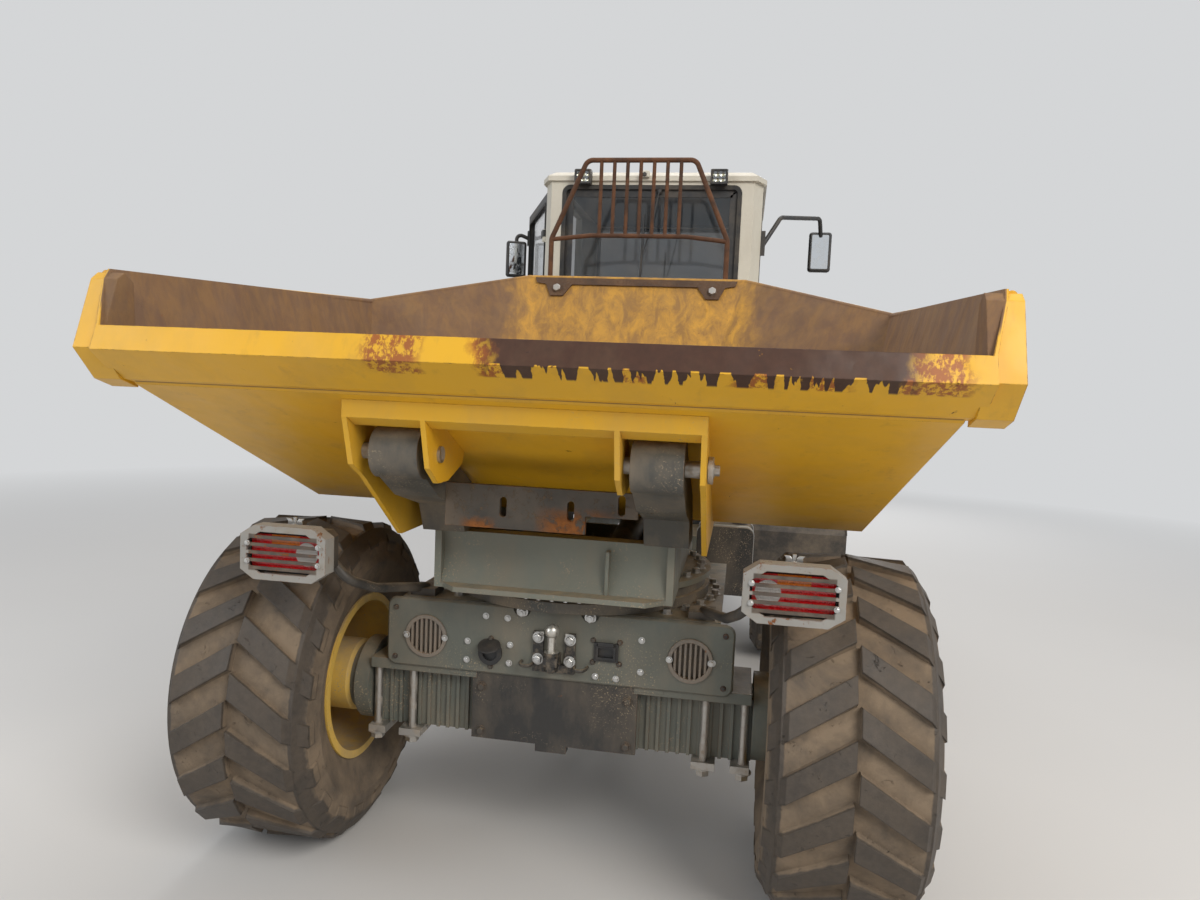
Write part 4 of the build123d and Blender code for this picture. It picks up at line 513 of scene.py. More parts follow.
@dataclass(frozen=True)
class HitchSteel(Finish):
    """The tow gear: a bright ball and neck, on dirty black brackets."""

    ball: Point = (0.0, from_axle(-0.205), 0.872)
    radius: float = 0.070

    def layers(self, s: Shader) -> Material:
        """Builds bright steel round the ball, and dirty black steel elsewhere."""
        bright = s.span(s.measure("DISTANCE", s.place, self.ball), self.radius, self.radius - 0.004)
        film = s.span(s.noise(35, 6, 0.7), 0.48, 0.72, 0.0, 0.7)
        black = s.blend(film, (0.022, 0.021, 0.020), DUST)
        steel = s.blend(s.both(film, 0.5), (0.62, 0.60, 0.55), (0.20, 0.15, 0.09))
        s.relief(s.noise(320, 3), 0.0004, 0.001)
        return s.finish(s.blend(bright, black, steel), s.span(film, 0, 0.7, 0.28, 0.7), s.both(bright, 0.85))


@dataclass(frozen=True)
class LampGuardPaint(Finish):
    """Pale chipped paint on the guards' rims, and bars inside them rubbed down to dirty steel."""

    middle: tuple[float, float] = (0.760, 1.163)
    window: tuple[float, float] = (0.112, 0.056)

    def layers(self, s: Shader) -> Material:
        """Builds the rim's paint and the bars' bare steel."""
        offsets = (s.apart(s.apart(s.axis(0)), self.middle[0]), s.apart(s.axis(2), self.middle[1]))
        bars = s.both(*(s.span(offset, half + 0.002, half - 0.002)
                        for offset, half in zip(offsets, self.window)))
        paint = s.blend(s.noise(9, 5), (0.36, 0.35, 0.33), (0.23, 0.22, 0.20))
        steel = s.blend(s.noise(30, 5, shift=3), (0.105, 0.080, 0.062), (0.050, 0.040, 0.034))
        worn = s.either(s.worn(0.003), s.span(s.noise(26, 8, 0.72, 0.4, shift=5), 0.60, 0.64))
        colour = s.blend(worn, s.blend(bars, paint, steel), s.rust())
        film = s.span(s.noise(12, 6, 0.7, shift=9), 0.45, 0.75, 0.0, 0.5)
        s.relief(s.less(s.both(s.noise(260, 2), 0.2), worn), 0.0006, 0.002)
        return s.finish(s.blend(film, colour, DUST), s.span(s.either(worn, film), 0, 0.6, 0.5, 0.9))


@dataclass(frozen=True)
class TreadPlate(Finish):
    """Painted sheet with raised anti-slip bars, scuffed where boots tread."""

    colour: Colour = (0.022, 0.022, 0.023)
    scuffed: Colour = (0.30, 0.29, 0.28)
    pitch: float = 26.0

    def layers(self, s: Shader) -> Material:
        """Builds the crossed bars by two turned checks."""
        rows: list[Socket] = []
        for turn in (0.785, -0.785):
            turned = s.add("Mapping", {"Vector": s.place, "Rotation": (0, 0, turn),
                                                 "Scale": (self.pitch, self.pitch * 3.2, self.pitch)})
            cell = s.add("TexVoronoi", {"Vector": turned.outputs[0], "Scale": 1.0, "Randomness": 0.0},
                         feature="F1")
            rows.append(s.span(cell.outputs["Distance"], 0.36, 0.24))
        level = s.span(s.axis(2, s.add("NewGeometry").outputs["True Normal"]), 0.8, 0.95)
        bars = s.both(s.either(*rows), level)
        worn = s.both(bars, s.span(s.noise(9, 6, 0.7), 0.42, 0.66))
        dust = s.span(s.noise(6, 6, 0.7, shift=4), 0.40, 0.72, 0.05, 0.5)
        s.relief(s.plus(bars, s.both(s.noise(200, 3), 0.1)), 0.0016, 0.002)
        return s.finish(s.blend(worn, s.blend(dust, self.colour, DUST), self.scuffed),
                        s.span(worn, 0, 1, 0.62, 0.38), s.both(worn, 0.8))


@dataclass(frozen=True)
class LedLens(Finish):
    """A work lamp's clear front over a grid of small reflectors."""

    centre: Colour = (0.36, 0.34, 0.22)
    bowl: Colour = (0.20, 0.21, 0.22)

    def layers(self, s: Shader) -> Material:
        """Builds the reflectors behind a clear coat."""
        bowl = s.span(s.cells(34.0, random=0.0), 0.12, 0.5)
        s.relief(bowl, 0.004)
        return s.finish(s.blend(bowl, self.centre, self.bowl), 0.12, s.span(bowl, 0.1, 0.4, 0.2, 0.9),
                        {"Coat Weight": 1.0})


@dataclass(frozen=True)
class MirrorGlass(Finish):
    """Silvered glass with a little dust."""

    colour: Colour = (0.72, 0.75, 0.78)

    def layers(self, s: Shader) -> Material:
        """Builds the mirror and its film."""
        film = s.span(s.noise(30, 6, 0.7), 0.45, 0.75, 0.0, 0.25)
        return s.finish(s.blend(film, self.colour, DUST), s.span(film, 0, 0.3, 0.03, 0.3),
                        s.span(film, 0, 0.3, 1.0, 0.6))


@dataclass(frozen=True)
class TyreRubber(Finish):
    """Weathered tyre rubber: scuffed dark lug tops, and dried mud between them and on the walls."""

    colour: Colour = (0.026, 0.023, 0.021)
    scuffed: Colour = (0.075, 0.062, 0.052)
    mud: Colour = (0.195, 0.145, 0.098)
    crown: float = 0.585

    def lug_tops(self, s: Shader) -> Socket:
        """A mask of the lugs' running faces, by their height over each axle."""
        across = s.apart(s.apart(s.axis(0)), TRACK_X)
        along = s.calc("MINIMUM", s.apart(s.axis(1), REAR_AXLE_Y), s.apart(s.axis(1), FRONT_AXLE_Y))
        radius = s.reach(along, s.less(s.axis(2), AXLE_Z))
        fall = s.plus(s.span(across, 0.0, 0.195, 0.0, 0.008), s.span(across, 0.195, 0.249, 0.0, 0.070))
        height = s.plus(s.less(radius, self.crown), fall)
        return s.span(s.plus(height, s.wobble(0.012, 40, 4)), -0.014, -0.008)

    def layers(self, s: Shader) -> Material:
        """Builds the rubber, its scuffs, its mud and the dark running faces."""
        scuffs = s.span(s.noise(45, 6, 0.7, shift=2), 0.35, 0.75)
        rubber = s.blend(s.both(scuffs, 0.6), self.colour, self.scuffed)
        cake = s.span(s.noise(6, 8, 0.68, 0.3, shift=5), 0.34, 0.60, 0.30, 0.95)
        dusted = s.both(cake, s.span(self.lug_tops(s), 0, 1, 1.0, 0.22))
        mud = s.blend(s.noise(14, 6, 0.7, shift=9), self.mud, times(self.mud, 1.35))
        cuts = s.span(s.noise(24, 7, 0.8, 0.8, shift=15), 0.62, 0.66)
        s.relief(s.less(s.plus(s.both(s.noise(160, 4, 0.7), 0.5), dusted), cuts), 0.0018, 0.006)
        return s.finish(s.blend(dusted, rubber, mud), s.span(dusted, 0.1, 0.8, 0.60, 0.95))


@dataclass(frozen=True)
class SeatCloth(Finish):
    """Dark woven seat cover."""

    colour: Colour = (0.035, 0.036, 0.042)
    thread: Colour = (0.07, 0.07, 0.08)

    def layers(self, s: Shader) -> Material:
        """Builds the weave."""
        s.relief(s.both(s.cells(700), s.cells(520, 3.0)), 0.0005)
        return s.finish(s.blend(s.noise(260, 3), self.colour, self.thread), 0.9, 0.0, {"Sheen Weight": 0.3})


class Look(Enum):
    """Every finish on the machine, with the CAD nodes that wear it."""

    FRAME_PAINT = (PaintedSteel((0.100, 0.110, 0.095), (0.145, 0.152, 0.128), 0.12, 0.42),
                   "rear_chassis bumper_plate front_chassis rear_axle front_axle")
    # The swivel frame's paint is lighter than the frame paint. The extra lightness is painted sunlight, where
    # the skip shades the frame here.
    SWIVEL_PAINT_WITH_PAINTED_SUN = PaintedSteel((0.155, 0.168, 0.140), (0.21, 0.215, 0.175), 0.10, 0.50), "swivel_frame"
    LUG_PAINT = (PaintedSteel((0.060, 0.060, 0.054), (0.10, 0.095, 0.082), 0.35, 0.75),
                 "tip_lugs slew_ring_lower slew_ring_upper")
    SLOTTED_STEEL = SlottedSteel(), "slotted_plate"
    GUARD_PAINT = LampGuardPaint(), "lamp_guards"
    GRILLE_PAINT = PaintedSteel((0.15, 0.13, 0.115), (0.25, 0.215, 0.18), 0.30, 0.6), "bumper_grilles"
    HITCH_STEEL = HitchSteel(), "tow_hitch"
    SHIELD_STEEL = RustySteel((0.150, 0.088, 0.046), (0.062, 0.043, 0.030)), "headboard_shield"
    BLACK_PAINT = (PaintedSteel((0.018, 0.018, 0.018), (0.040, 0.038, 0.036), 0.22, 0.35),
                   "tail_lamp_boxes lamp_arms exhaust_stack tip_barrels steer_barrel_left steer_barrel_right "
                   "front_bumper side_tanks axle_guard")
    DOOR_BLACK = PaintedSteel((0.016, 0.016, 0.017), (0.03, 0.03, 0.03), 0.02, 0.25, 0.1), "door_frame"
    TREAD_PLATE = TreadPlate(), "cab_steps front_fenders"
    SKIP_PAINT = SkipPaint(), "skip_tub"
    MACHINE_YELLOW = (PaintedSteel((0.80, 0.43, 0.012), (0.74, 0.43, 0.035), 0.05, 0.22),
                      "skip_ribs hood_shell")
    RIM_YELLOW = (PaintedSteel((0.74, 0.44, 0.05), (0.60, 0.42, 0.12), 0.10, 0.65),
                  "rim_rear_left rim_rear_right rim_front_left rim_front_right")
    TYRE_RUBBER = TyreRubber(), "tyre_rear_left tyre_rear_right tyre_front_left tyre_front_right"
    CAB_CREAM = PaintedSteel((0.70, 0.66, 0.56), (0.62, 0.58, 0.49), 0.02, 0.18, 0.2), "cab_shell cab_roof"
    SAFETY_RED = PaintedSteel((0.45, 0.030, 0.020), (0.36, 0.045, 0.03), 0.12, 0.2), "safety_prop"
    RUSTY_STEEL = RustySteel((0.17, 0.068, 0.026)), "guard_rack"
    ENGINE_GREY = PaintedSteel((0.055, 0.058, 0.060), (0.09, 0.09, 0.088), 0.18, 0.55), "engine_block"
    DUSTY_STEEL = BrightSteel((0.44, 0.42, 0.39), 0.45, 0.75), "tip_pins axle_clamps"
    CYLINDER_STEEL = BrightSteel((0.68, 0.68, 0.68), 0.16, 0.2), "tip_rods steer_rod_left steer_rod_right"
    RUBBER = Moulding((0.022, 0.022, 0.022), 0.7, 0.3), "cab_mounts"
    BLACK_PLASTIC = (Moulding((0.020, 0.020, 0.021), 0.45, 0.22),
                     "trailer_sockets side_mirror door_mirror steering_console hood_grille work_lamps")
    TAIL_LENS = TailLens(), "tail_lamp_lenses"
    LAMP_CLEAR = LampLens((0.78, 0.78, 0.76)), "head_lamps"
    GLASS = CabGlass(), "cab_glass door_glass"
    SEAT_FABRIC = SeatCloth(), "operator_seat"
    BRIGHT_STEEL = BrightSteel(), ""
    LED_LENS = LedLens(), ""
    MIRROR_GLASS = MirrorGlass(), ""

    def __init__(self, finish: Finish, nodes: str) -> None:
        """Keeps the finish and the nodes' names."""
        self.finish = finish
        self.nodes = nodes.split()
        self.made: Material | None = None

    def material(self) -> Material:
        """The look's one material, made on first use."""
        if self.made is None:
            self.made = self.finish.layers(Shader(bpy.data.materials.new(self.name.lower())))
        return self.made

    def wear(self, mesh: bpy.types.Mesh) -> None:
        """Puts this look all over a mesh."""
        mesh.materials.clear()
        mesh.materials.append(self.material())


# Object factory


def about(pivot: Point, degrees: float, axis: str) -> Matrix:
    """A turn about an axis through a pivot."""
    turn = Matrix.Rotation(math.radians(degrees), 4, axis)
    return Matrix.Translation(pivot) @ turn @ Matrix.Translation(-Vector(pivot))


def facing(place: Point, way: Point, turn: float = 0.0) -> Matrix:
    """Where a model drawn upright about the origin goes, with its top pointing along a direction."""
    upright = Vector(way).to_track_quat("Z", "Y").to_matrix().to_4x4()
    return Matrix.Translation(place) @ upright @ Matrix.Rotation(turn, 4, "Z")


def across(place: Point) -> Matrix:
    """Where a frame drawn in X and Y goes to stand upright across the machine."""
    return Matrix.Translation(place) @ Matrix.Rotation(QUARTER, 4, "X")


def along(place: Point) -> Matrix:
    """Where a frame drawn in X and Y goes to stand upright along the machine."""
    return Matrix.Translation(place) @ Matrix.Rotation(QUARTER, 4, "Z") @ Matrix.Rotation(QUARTER, 4, "X")


def ring(radius: float, count: int, start: float = 0.5) -> list[tuple[float, float]]:
    """Offsets of points spaced evenly on a circle, the first one start steps on."""
    turns = [math.tau * (i + start) / count for i in range(count)]
    return [(radius * math.cos(turn), radius * math.sin(turn)) for turn in turns]


class Bench:
    """Where new pieces are made with the modelling operators, each left at the origin."""

    @staticmethod
    def take(*pieces: Piece) -> None:
        """Selects only these pieces and makes the first one active."""
        bpy.ops.object.select_all(action="DESELECT")
        for piece in pieces:
            piece.select_set(True)
        bpy.context.view_layer.objects.active = pieces[0]

    @staticmethod
    def settle(name: str, scale: Point = (1, 1, 1)) -> Piece:
        """Names the piece just added and applies its place, turn and scale to its mesh."""
        piece = bpy.context.object
        piece.name, piece.scale = name, scale
        Bench.take(piece)
        bpy.ops.object.transform_apply(location=True, rotation=True, scale=True)
        return piece

    @staticmethod
    def lay_out(name: str, data: bpy.types.ID) -> Piece:
        """Puts a mesh or curve into the scene as the only selected piece."""
        piece = bpy.data.objects.new(name, data)
        bpy.context.scene.collection.objects.link(piece)
        Bench.take(piece)
        return piece

    @staticmethod
    @contextmanager
    def edit(piece: Piece, wanted: Callable[[Face], bool]) -> Iterator[None]:
        """Edit mode on one piece, with only the faces that pass a test selected.

        Args:
            piece: The piece to shape.
            wanted: Says of each face whether it is selected.
        """
        Bench.take(piece)
        bpy.ops.object.mode_set(mode="EDIT")
        bpy.ops.mesh.select_mode(type="FACE")
        bpy.ops.mesh.select_all(action="DESELECT")
        bpy.ops.object.mode_set(mode="OBJECT")
        for face in piece.data.polygons:
            face.select = wanted(face)
        bpy.ops.object.mode_set(mode="EDIT")
        yield
        bpy.ops.object.mode_set(mode="OBJECT")

    @staticmethod
    def modify(piece: Piece, kind: str, **settings: object) -> Piece:
        """Adds a modifier and applies it."""
        Bench.take(piece)
        modifier = piece.modifiers.new(kind.lower(), kind)
        for key, value in settings.items():
            setattr(modifier, key, value)
        bpy.ops.object.modifier_apply(modifier=modifier.name)
        return piece

    @staticmethod
    def block(name: str, low: Point, high: Point, bevel: float = 0.0, segments: int = 2) -> Piece:
        """A block between two corners with its edges bevelled."""
        bpy.ops.mesh.primitive_cube_add(size=1, location=(Vector(low) + Vector(high)) / 2)
        piece = Bench.settle(name, Vector(high) - Vector(low))
        return Bench.modify(piece, "BEVEL", width=bevel, segments=segments) if bevel > 0 else piece

    @staticmethod
    def disc(name: str, centre: Point, way: Point, radius: float, depth: float, sides: int) -> Piece:
        """A round blank about a point, along a direction."""
        turn = Vector(way).to_track_quat("Z", "Y").to_euler()
        bpy.ops.mesh.primitive_cylinder_add(vertices=sides, radius=radius, depth=depth,
                                            location=centre, rotation=turn)
        return Bench.settle(name)

    @staticmethod
    def hoop(name: str, place: Matrix, size: tuple[float, float], corner: float, band: float,
             thick: float) -> Piece:
        """A flat frame with rounded corners.

        Args:
            name: The piece's name.
            place: Puts the frame, drawn in X and Y about the origin, where it belongs.
            size: Outer width and height.
            corner: Radius of the outer corners.
            band: Width of the band.
            thick: Thickness, half to each side.

        Returns:
            The frame.
        """
        bpy.ops.mesh.primitive_plane_add(size=1)
        piece = Bench.settle(name, (*size, 1))
        with Bench.edit(piece, lambda face: True):
            bpy.ops.mesh.bevel(offset=corner, segments=6, affect="VERTICES")
            bpy.ops.mesh.select_all(action="SELECT")
            bpy.ops.mesh.inset(thickness=band)
            bpy.ops.mesh.delete(type="FACE")
        Bench.modify(piece, "SOLIDIFY", thickness=thick, offset=0.0)
        Bench.modify(piece, "BEVEL", width=min(band, thick) * 0.22, segments=2)
        piece.data.transform(place)
        return piece

    @staticmethod
    def tube(name: str, points: list[Point], radius: float, sides: int = 6) -> Piece:
        """A round bar along a smooth line through a route's corners, as a mesh."""
        curve = bpy.data.curves.new(name, "CURVE")
        curve.dimensions = "3D"
        curve.bevel_depth, curve.bevel_resolution, curve.use_fill_caps = radius, sides // 2, True
        spline = curve.splines.new("NURBS")
        spline.points.add(len(points) - 1)
        for point, place in zip(spline.points, points):
            point.co = (*place, 1.0)
        spline.order_u, spline.use_endpoint_u, spline.resolution_u = 3, True, 8
        Bench.lay_out(name, curve)
        bpy.ops.object.convert(target="MESH")
        bpy.ops.object.shade_smooth_by_angle(angle=0.9)
        return bpy.context.object

    @staticmethod
    def turned(name: str, outline: list[tuple[float, float]], centre: Point, way: Point,
               steps: int = 32) -> Piece:
        """A piece spun from (radius, height) points about a line through centre, as on a lathe."""
        mesh = bpy.data.meshes.new(name)
        mesh.from_pydata([(r, 0.0, h) for r, h in outline], [(i, i + 1) for i in range(len(outline) - 1)], [])
        piece = Bench.lay_out(name, mesh)
        bpy.ops.object.mode_set(mode="EDIT")
        bpy.ops.mesh.select_all(action="SELECT")
        bpy.ops.mesh.spin(steps=steps, angle=math.tau, center=(0, 0, 0), axis=(0, 0, 1))
        bpy.ops.mesh.select_all(action="SELECT")
        bpy.ops.mesh.remove_doubles(threshold=0.00005)
        bpy.ops.mesh.normals_make_consistent(inside=False)
        bpy.ops.object.mode_set(mode="OBJECT")
        mesh.transform(facing(centre, way))
        bpy.ops.object.shade_smooth_by_angle(angle=0.7)
        return piece

    @staticmethod
    def join(name: str, pieces: list[Piece]) -> Piece:
        """Joins pieces into one."""
        Bench.take(*pieces)
        if len(pieces) > 1:
            bpy.ops.object.join()
        pieces[0].name = pieces[0].data.name = name
        return pieces[0]

    @staticmethod
    def repeat(name: str, model: Piece, places: list[Matrix]) -> Piece:
        """Copies a model, drawn about the origin, to many places as one piece, and removes the model."""
        copies = []
        for place in places:
            mesh = model.data.copy()
            mesh.transform(place)
            copies.append(Bench.lay_out(name, mesh))
        bpy.data.objects.remove(model)
        return Bench.join(name, copies)


@dataclass(frozen=True)
class HexBolt:
    """A hexagon bolt's head on its washer, about the origin, with its top along Z."""

    across: float
    shank: float = 0.0

    def model(self) -> Piece:
        """Builds washer, chamfered head and the thread's end."""
        radius = self.across * 0.577
        head = Bench.disc("head", (0, 0, self.across * 0.36), UP, radius, self.across * 0.5, 6)
        with Bench.edit(head, lambda face: face.normal.z > 0.9):
            bpy.ops.mesh.inset(thickness=radius * 0.14)
            bpy.ops.transform.translate(value=(0, 0, radius * 0.10))
            if self.shank > 0:
                bpy.ops.mesh.inset(thickness=radius * 0.30)
                bpy.ops.mesh.extrude_region_move(TRANSFORM_OT_translate={"value": (0, 0, self.shank)})
        washer = Bench.disc("washer", (0, 0, self.across * 0.05), UP, radius * 1.35, self.across * 0.12, 16)
        return Bench.join("bolt", [head, washer])


@dataclass(frozen=True)
class Studio:
    """Pale floor and backdrop, soft lamps and the camera."""

    camera_place: Point = (0.5944, -4.7085, 1.7238)
    yaw: float = 9.529
    pitch: float = -4.582
    roll: float = 2.455
    lens: float = 25.218
    aim: Point = (0.0, -0.5, 1.2)
    ambient: float = 0.62
    floor: Colour = (0.62, 0.61, 0.60)
    backdrop: Colour = (0.66, 0.67, 0.68)

    def build_floor(self) -> None:
        """Adds a floor that is pale near the machine and fades into the backdrop's own colour far out."""
        bpy.ops.mesh.primitive_plane_add(size=60, location=(0, 14, 0))
        floor = Bench.settle("studio_floor")
        s = Shader(bpy.data.materials.new("studio_floor"))
        far = s.span(s.measure("LENGTH", s.place), 4.5, 12.0)
        near = s.blend(s.noise(0.6, 2), self.floor, times(self.floor, 0.97))
        floor.data.materials.append(s.finish(s.blend(far, near, (0.0, 0.0, 0.0)), 0.95, 0.0, {
            "Specular IOR Level": 0.0, "Emission Color": self.backdrop,
            "Emission Strength": s.both(far, s.seen())}))

    def build_lamps(self) -> None:
        """Adds a large key lamp, a fill lamp, a lamp overhead and one behind."""
        for name, place, size, power, colour in (
                ("key", (5.5, -7.5, 6.5), 5.0, 620.0, (1.0, 0.96, 0.90)),
                ("fill", (-7.0, -6.0, 4.0), 6.0, 240.0, (0.92, 0.96, 1.0)),
                ("top", (0.0, 2.0, 9.0), 7.0, 330.0, (1.0, 1.0, 1.0)),
                ("rear", (2.0, 9.0, 4.0), 5.0, 200.0, (1.0, 1.0, 1.0))):
            light = bpy.data.lights.new(name, "AREA")
            light.shape, light.size, light.energy, light.color = "DISK", size, power, colour
            lamp = Bench.lay_out(name, light)
            lamp.location = place
            lamp.rotation_mode = "QUATERNION"
            lamp.rotation_quaternion = (Vector(self.aim) - Vector(place)).to_track_quat("-Z", "Y")

    def build_world(self) -> None:
        """Adds a pale world, which the camera and gloss see at full strength."""
        world = bpy.data.worlds.new("studio")
        bpy.context.scene.world = world
        s = Shader(world, "Background")
        s.put(s.surface["Color"], self.backdrop)
        s.put(s.surface["Strength"], s.span(s.seen(), 0.0, 1.0, self.ambient, 1.0))

    def build_camera(self) -> None:
        """Adds the camera at the photograph's place and angle."""
        yaw, pitch, roll = (math.radians(a) for a in (self.yaw, self.pitch, self.roll))
        ahead = Vector((-math.sin(yaw) * math.cos(pitch), math.cos(yaw) * math.cos(pitch), math.sin(pitch)))
        level = Vector((math.cos(yaw), math.sin(yaw), 0.0))
        upward = level.cross(ahead)
        right = level * math.cos(roll) + upward * math.sin(roll)
        up = upward * math.cos(roll) - level * math.sin(roll)
        data = bpy.data.cameras.new("camera")
        data.sensor_width, data.lens, data.clip_end = 36.0, self.lens, 200.0
        camera = Bench.lay_out("camera", data)
        camera.matrix_world = (Matrix.Translation(self.camera_place)
                               @ Matrix((right, up, -ahead)).transposed().to_4x4())
        bpy.context.scene.camera = camera

    def build(self) -> None:
        """Sets the whole studio up."""
        self.build_floor()
        self.build_lamps()
        self.build_world()
        self.build_camera()
        bpy.context.scene.view_settings.view_transform = "Standard"


# Sub-assemblies


class Assembly:
    """A group of pieces, most of which ride on one body."""

    body = "front_frame"

    def fit(self, piece: Piece, look: Look, body: str = "") -> None:
        """Dresses a finished piece and lets it ride on its body."""
        look.wear(piece.data)
        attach(piece, body or self.body)
        log.info("piece %s, %d faces", piece.name, len(piece.data.polygons))

    def bolts(self, name: str, bolt: HexBolt, look: Look, points: list[Point], way: Point,
              body: str = "") -> None:
        """Puts one bolt's copies at many points, all pointing one way."""
        self.fit(Bench.repeat(name, bolt.model(), [facing(point, way) for point in points]), look, body)


class Wheels(Assembly):
    """Wheel nuts, hub caps and their bolts."""

    cap = ((0.0, 0.016), (0.030, 0.015), (0.052, 0.010), (0.060, 0.0),
           (0.068, 0.0), (0.068, -0.006), (0.0, -0.006))

    def build(self) -> None:
        """Adds the fastenings to the four wheels."""
        for end, y in (("rear", REAR_AXLE_Y), ("front", FRONT_AXLE_Y)):
            for side, sign in SIDES:
                body, out = f"wheel_{end}_{side}", (float(sign), 0.0, 0.0)
                face, cap_x = sign * (TRACK_X + 0.046), sign * (TRACK_X + 0.150)
                nuts = [(face, y + a, AXLE_Z + b) for a, b in ring(0.165, 10)]
                self.bolts(f"wheel_nuts_{end}_{side}", HexBolt(0.034, 0.010), Look.BRIGHT_STEEL,
                           nuts, out, body)
                cap = Bench.turned(f"hub_cap_{end}_{side}", self.cap, (cap_x, y, AXLE_Z), out)
                self.fit(cap, Look.RIM_YELLOW, body)
                studs = [(cap_x, y + a, AXLE_Z + b) for a, b in ring(0.064, 6, 0.0)]
                self.bolts(f"hub_bolts_{end}_{side}", HexBolt(0.013), Look.BRIGHT_STEEL, studs, out, body)


class SlewGear(Assembly):
    """Bolts on the slewing ring, on the deck round it and under the swivel frame's tail."""

    body = "swivel"

    def build(self) -> None:
        """Adds the three sets of bolts."""
        top = [(a, SWIVEL_Y + b, 1.0343) for a, b in ring(0.470, 36) if abs(a) > 0.41 or abs(a) < 0.36]
        deck = [(a, SWIVEL_Y + b, 0.940) for a, b in ring(0.530, 36) if SWIVEL_Y + b > from_axle(-0.10)]
        tail = [(a, SWIVEL_Y + b, 1.012) for a, b in ring(0.530, 72, 0.0)[50:59]]
        self.bolts("ring_bolts_upper", HexBolt(0.026), Look.DUSTY_STEEL, top, UP)
        self.bolts("ring_bolts_deck", HexBolt(0.026), Look.DUSTY_STEEL, deck, UP, "rear_frame")
        self.bolts("ring_bolts_tail", HexBolt(0.026, 0.006), Look.BRIGHT_STEEL, tail, DOWN)


class TailEnd(Assembly):
    """Fastenings of the bumper plate, the tow gear, the tail lamps and the tip pins."""

    body = "rear_frame"
    y = from_axle(-0.153)
    lamp = (0.760, from_axle(-0.530), 1.163)
    # X and Z of the bumper plate's rivets and of its small screws.
    rivets = ((-0.313, 0.801), (-0.159, 0.801), (-0.315, 0.734), (-0.161, 0.736), (0.145, 0.720),
              (0.217, 0.718), (-0.249, 0.896), (-0.171, 0.895), (0.540, 0.805), (-0.540, 0.805),
              (0.300, 0.860), (0.300, 0.750))
    screws = ((-0.228, 0.718), (-0.228, 0.818), (0.134, 0.770), (0.226, 0.770), (0.134, 0.846),
              (0.226, 0.846), (-0.580, 0.900), (0.580, 0.900), (-0.580, 0.722), (0.580, 0.722))

    def bumper(self) -> None:
        """Bolts in the plate's notches and on the tow straps, rivets, screws, chain eyes and socket lids."""
        y = self.y
        straps = [(x, y + 0.004, 0.921) for x in (-0.120, 0.120)]
        straps += [(x, y - 0.012, z) for x in (-0.056, 0.056) for z in (0.766, 0.842)]
        self.bolts("bumper_bolts", HexBolt(0.026, 0.004), Look.BRIGHT_STEEL, straps, BACK)
        rivets = [(x, y, z) for x, z in self.rivets]
        rivets += [(s * 0.466 + t * 0.070, y - 0.006, 0.805) for s in (-1, 1) for t in (-1, 1)]
        self.bolts("bumper_rivets", HexBolt(0.015), Look.BRIGHT_STEEL, rivets, BACK)
        self.bolts("bumper_screws", HexBolt(0.013), Look.BLACK_PAINT,
                   [(x, y, z) for x, z in self.screws], BACK)
        for side, sign in SIDES:
            route = [(sign * 0.094 + a, y - b, 0.748) for a, b in
                     ((-0.022, 0.0), (-0.022, 0.034), (0.0, 0.050), (0.022, 0.034), (0.022, 0.0))]
            self.fit(Bench.tube(f"chain_eye_{side}", route, 0.006), Look.BLACK_PAINT)
        outline = [(0.0, 0.004), (0.028, 0.004), (0.038, 0.0), (0.040, -0.004), (0.0, -0.004)]
        hood = Bench.turned("socket_hood", outline, (-0.228, y - 0.026, 0.802), (0.0, -0.45, 1.0), 24)
        self.fit(hood, Look.BLACK_PLASTIC)
        lid = Bench.block("socket_lid", (0.152, y - 0.018, 0.829), (0.208, y - 0.010, 0.845), 0.003)
        self.fit(lid, Look.BLACK_PLASTIC)

    def lamp_nuts(self) -> None:
        """A wing nut over each tail lamp and screws in its guard's corners."""
        outline = [(0.0, 0.036), (0.006, 0.036), (0.006, 0.016), (0.013, 0.010), (0.014, 0.0), (0.0, 0.0)]
        for side, sign in SIDES:
            x, y, z = sign * self.lamp[0], self.lamp[1], self.lamp[2]
            top = (x, y, z + 0.067)
            parts = [Bench.turned(f"wing_nut_{side}", outline, top, UP, 16)]
            for lean in (-1, 1):
                wing = Bench.block("wing", (-0.003, 0.006, 0.008), (0.003, 0.024, 0.026), 0.002)
                with Bench.edit(wing, lambda face: face.normal.z > 0.8):
                    bpy.ops.transform.translate(value=(0, 0.006, 0.006))
                wing.data.transform(facing(top, UP, QUARTER * lean))
                parts.append(wing)
            self.fit(Bench.join(f"wing_nut_{side}", parts), Look.BRIGHT_STEEL)
            corners = [(x + dx, y - 0.0745, z + dz) for dx in (-0.116, 0.116) for dz in (-0.028, 0.028)]
            self.bolts(f"guard_screws_{side}", HexBolt(0.011), Look.BRIGHT_STEEL, corners, BACK)

    def build(self) -> None:
        """Adds everything at the tail."""
        self.bumper()
        self.lamp_nuts()
        keepers = [facing((sign * 0.524, from_axle(-0.620), 1.497), (float(sign), 0.0, 0.0))
                   for sign in (-1, 1)]
        self.fit(Bench.repeat("pin_keepers", HexBolt(0.026).model(), keepers), Look.DUSTY_STEEL, "skip")
        lobes = [(sign * 0.406, from_axle(1.4520), 2.2055) for sign in (-1, 1)]
        self.bolts("shield_bolts", HexBolt(0.036), Look.DUSTY_STEEL, lobes, (0.0, -0.920, 0.391), "skip")


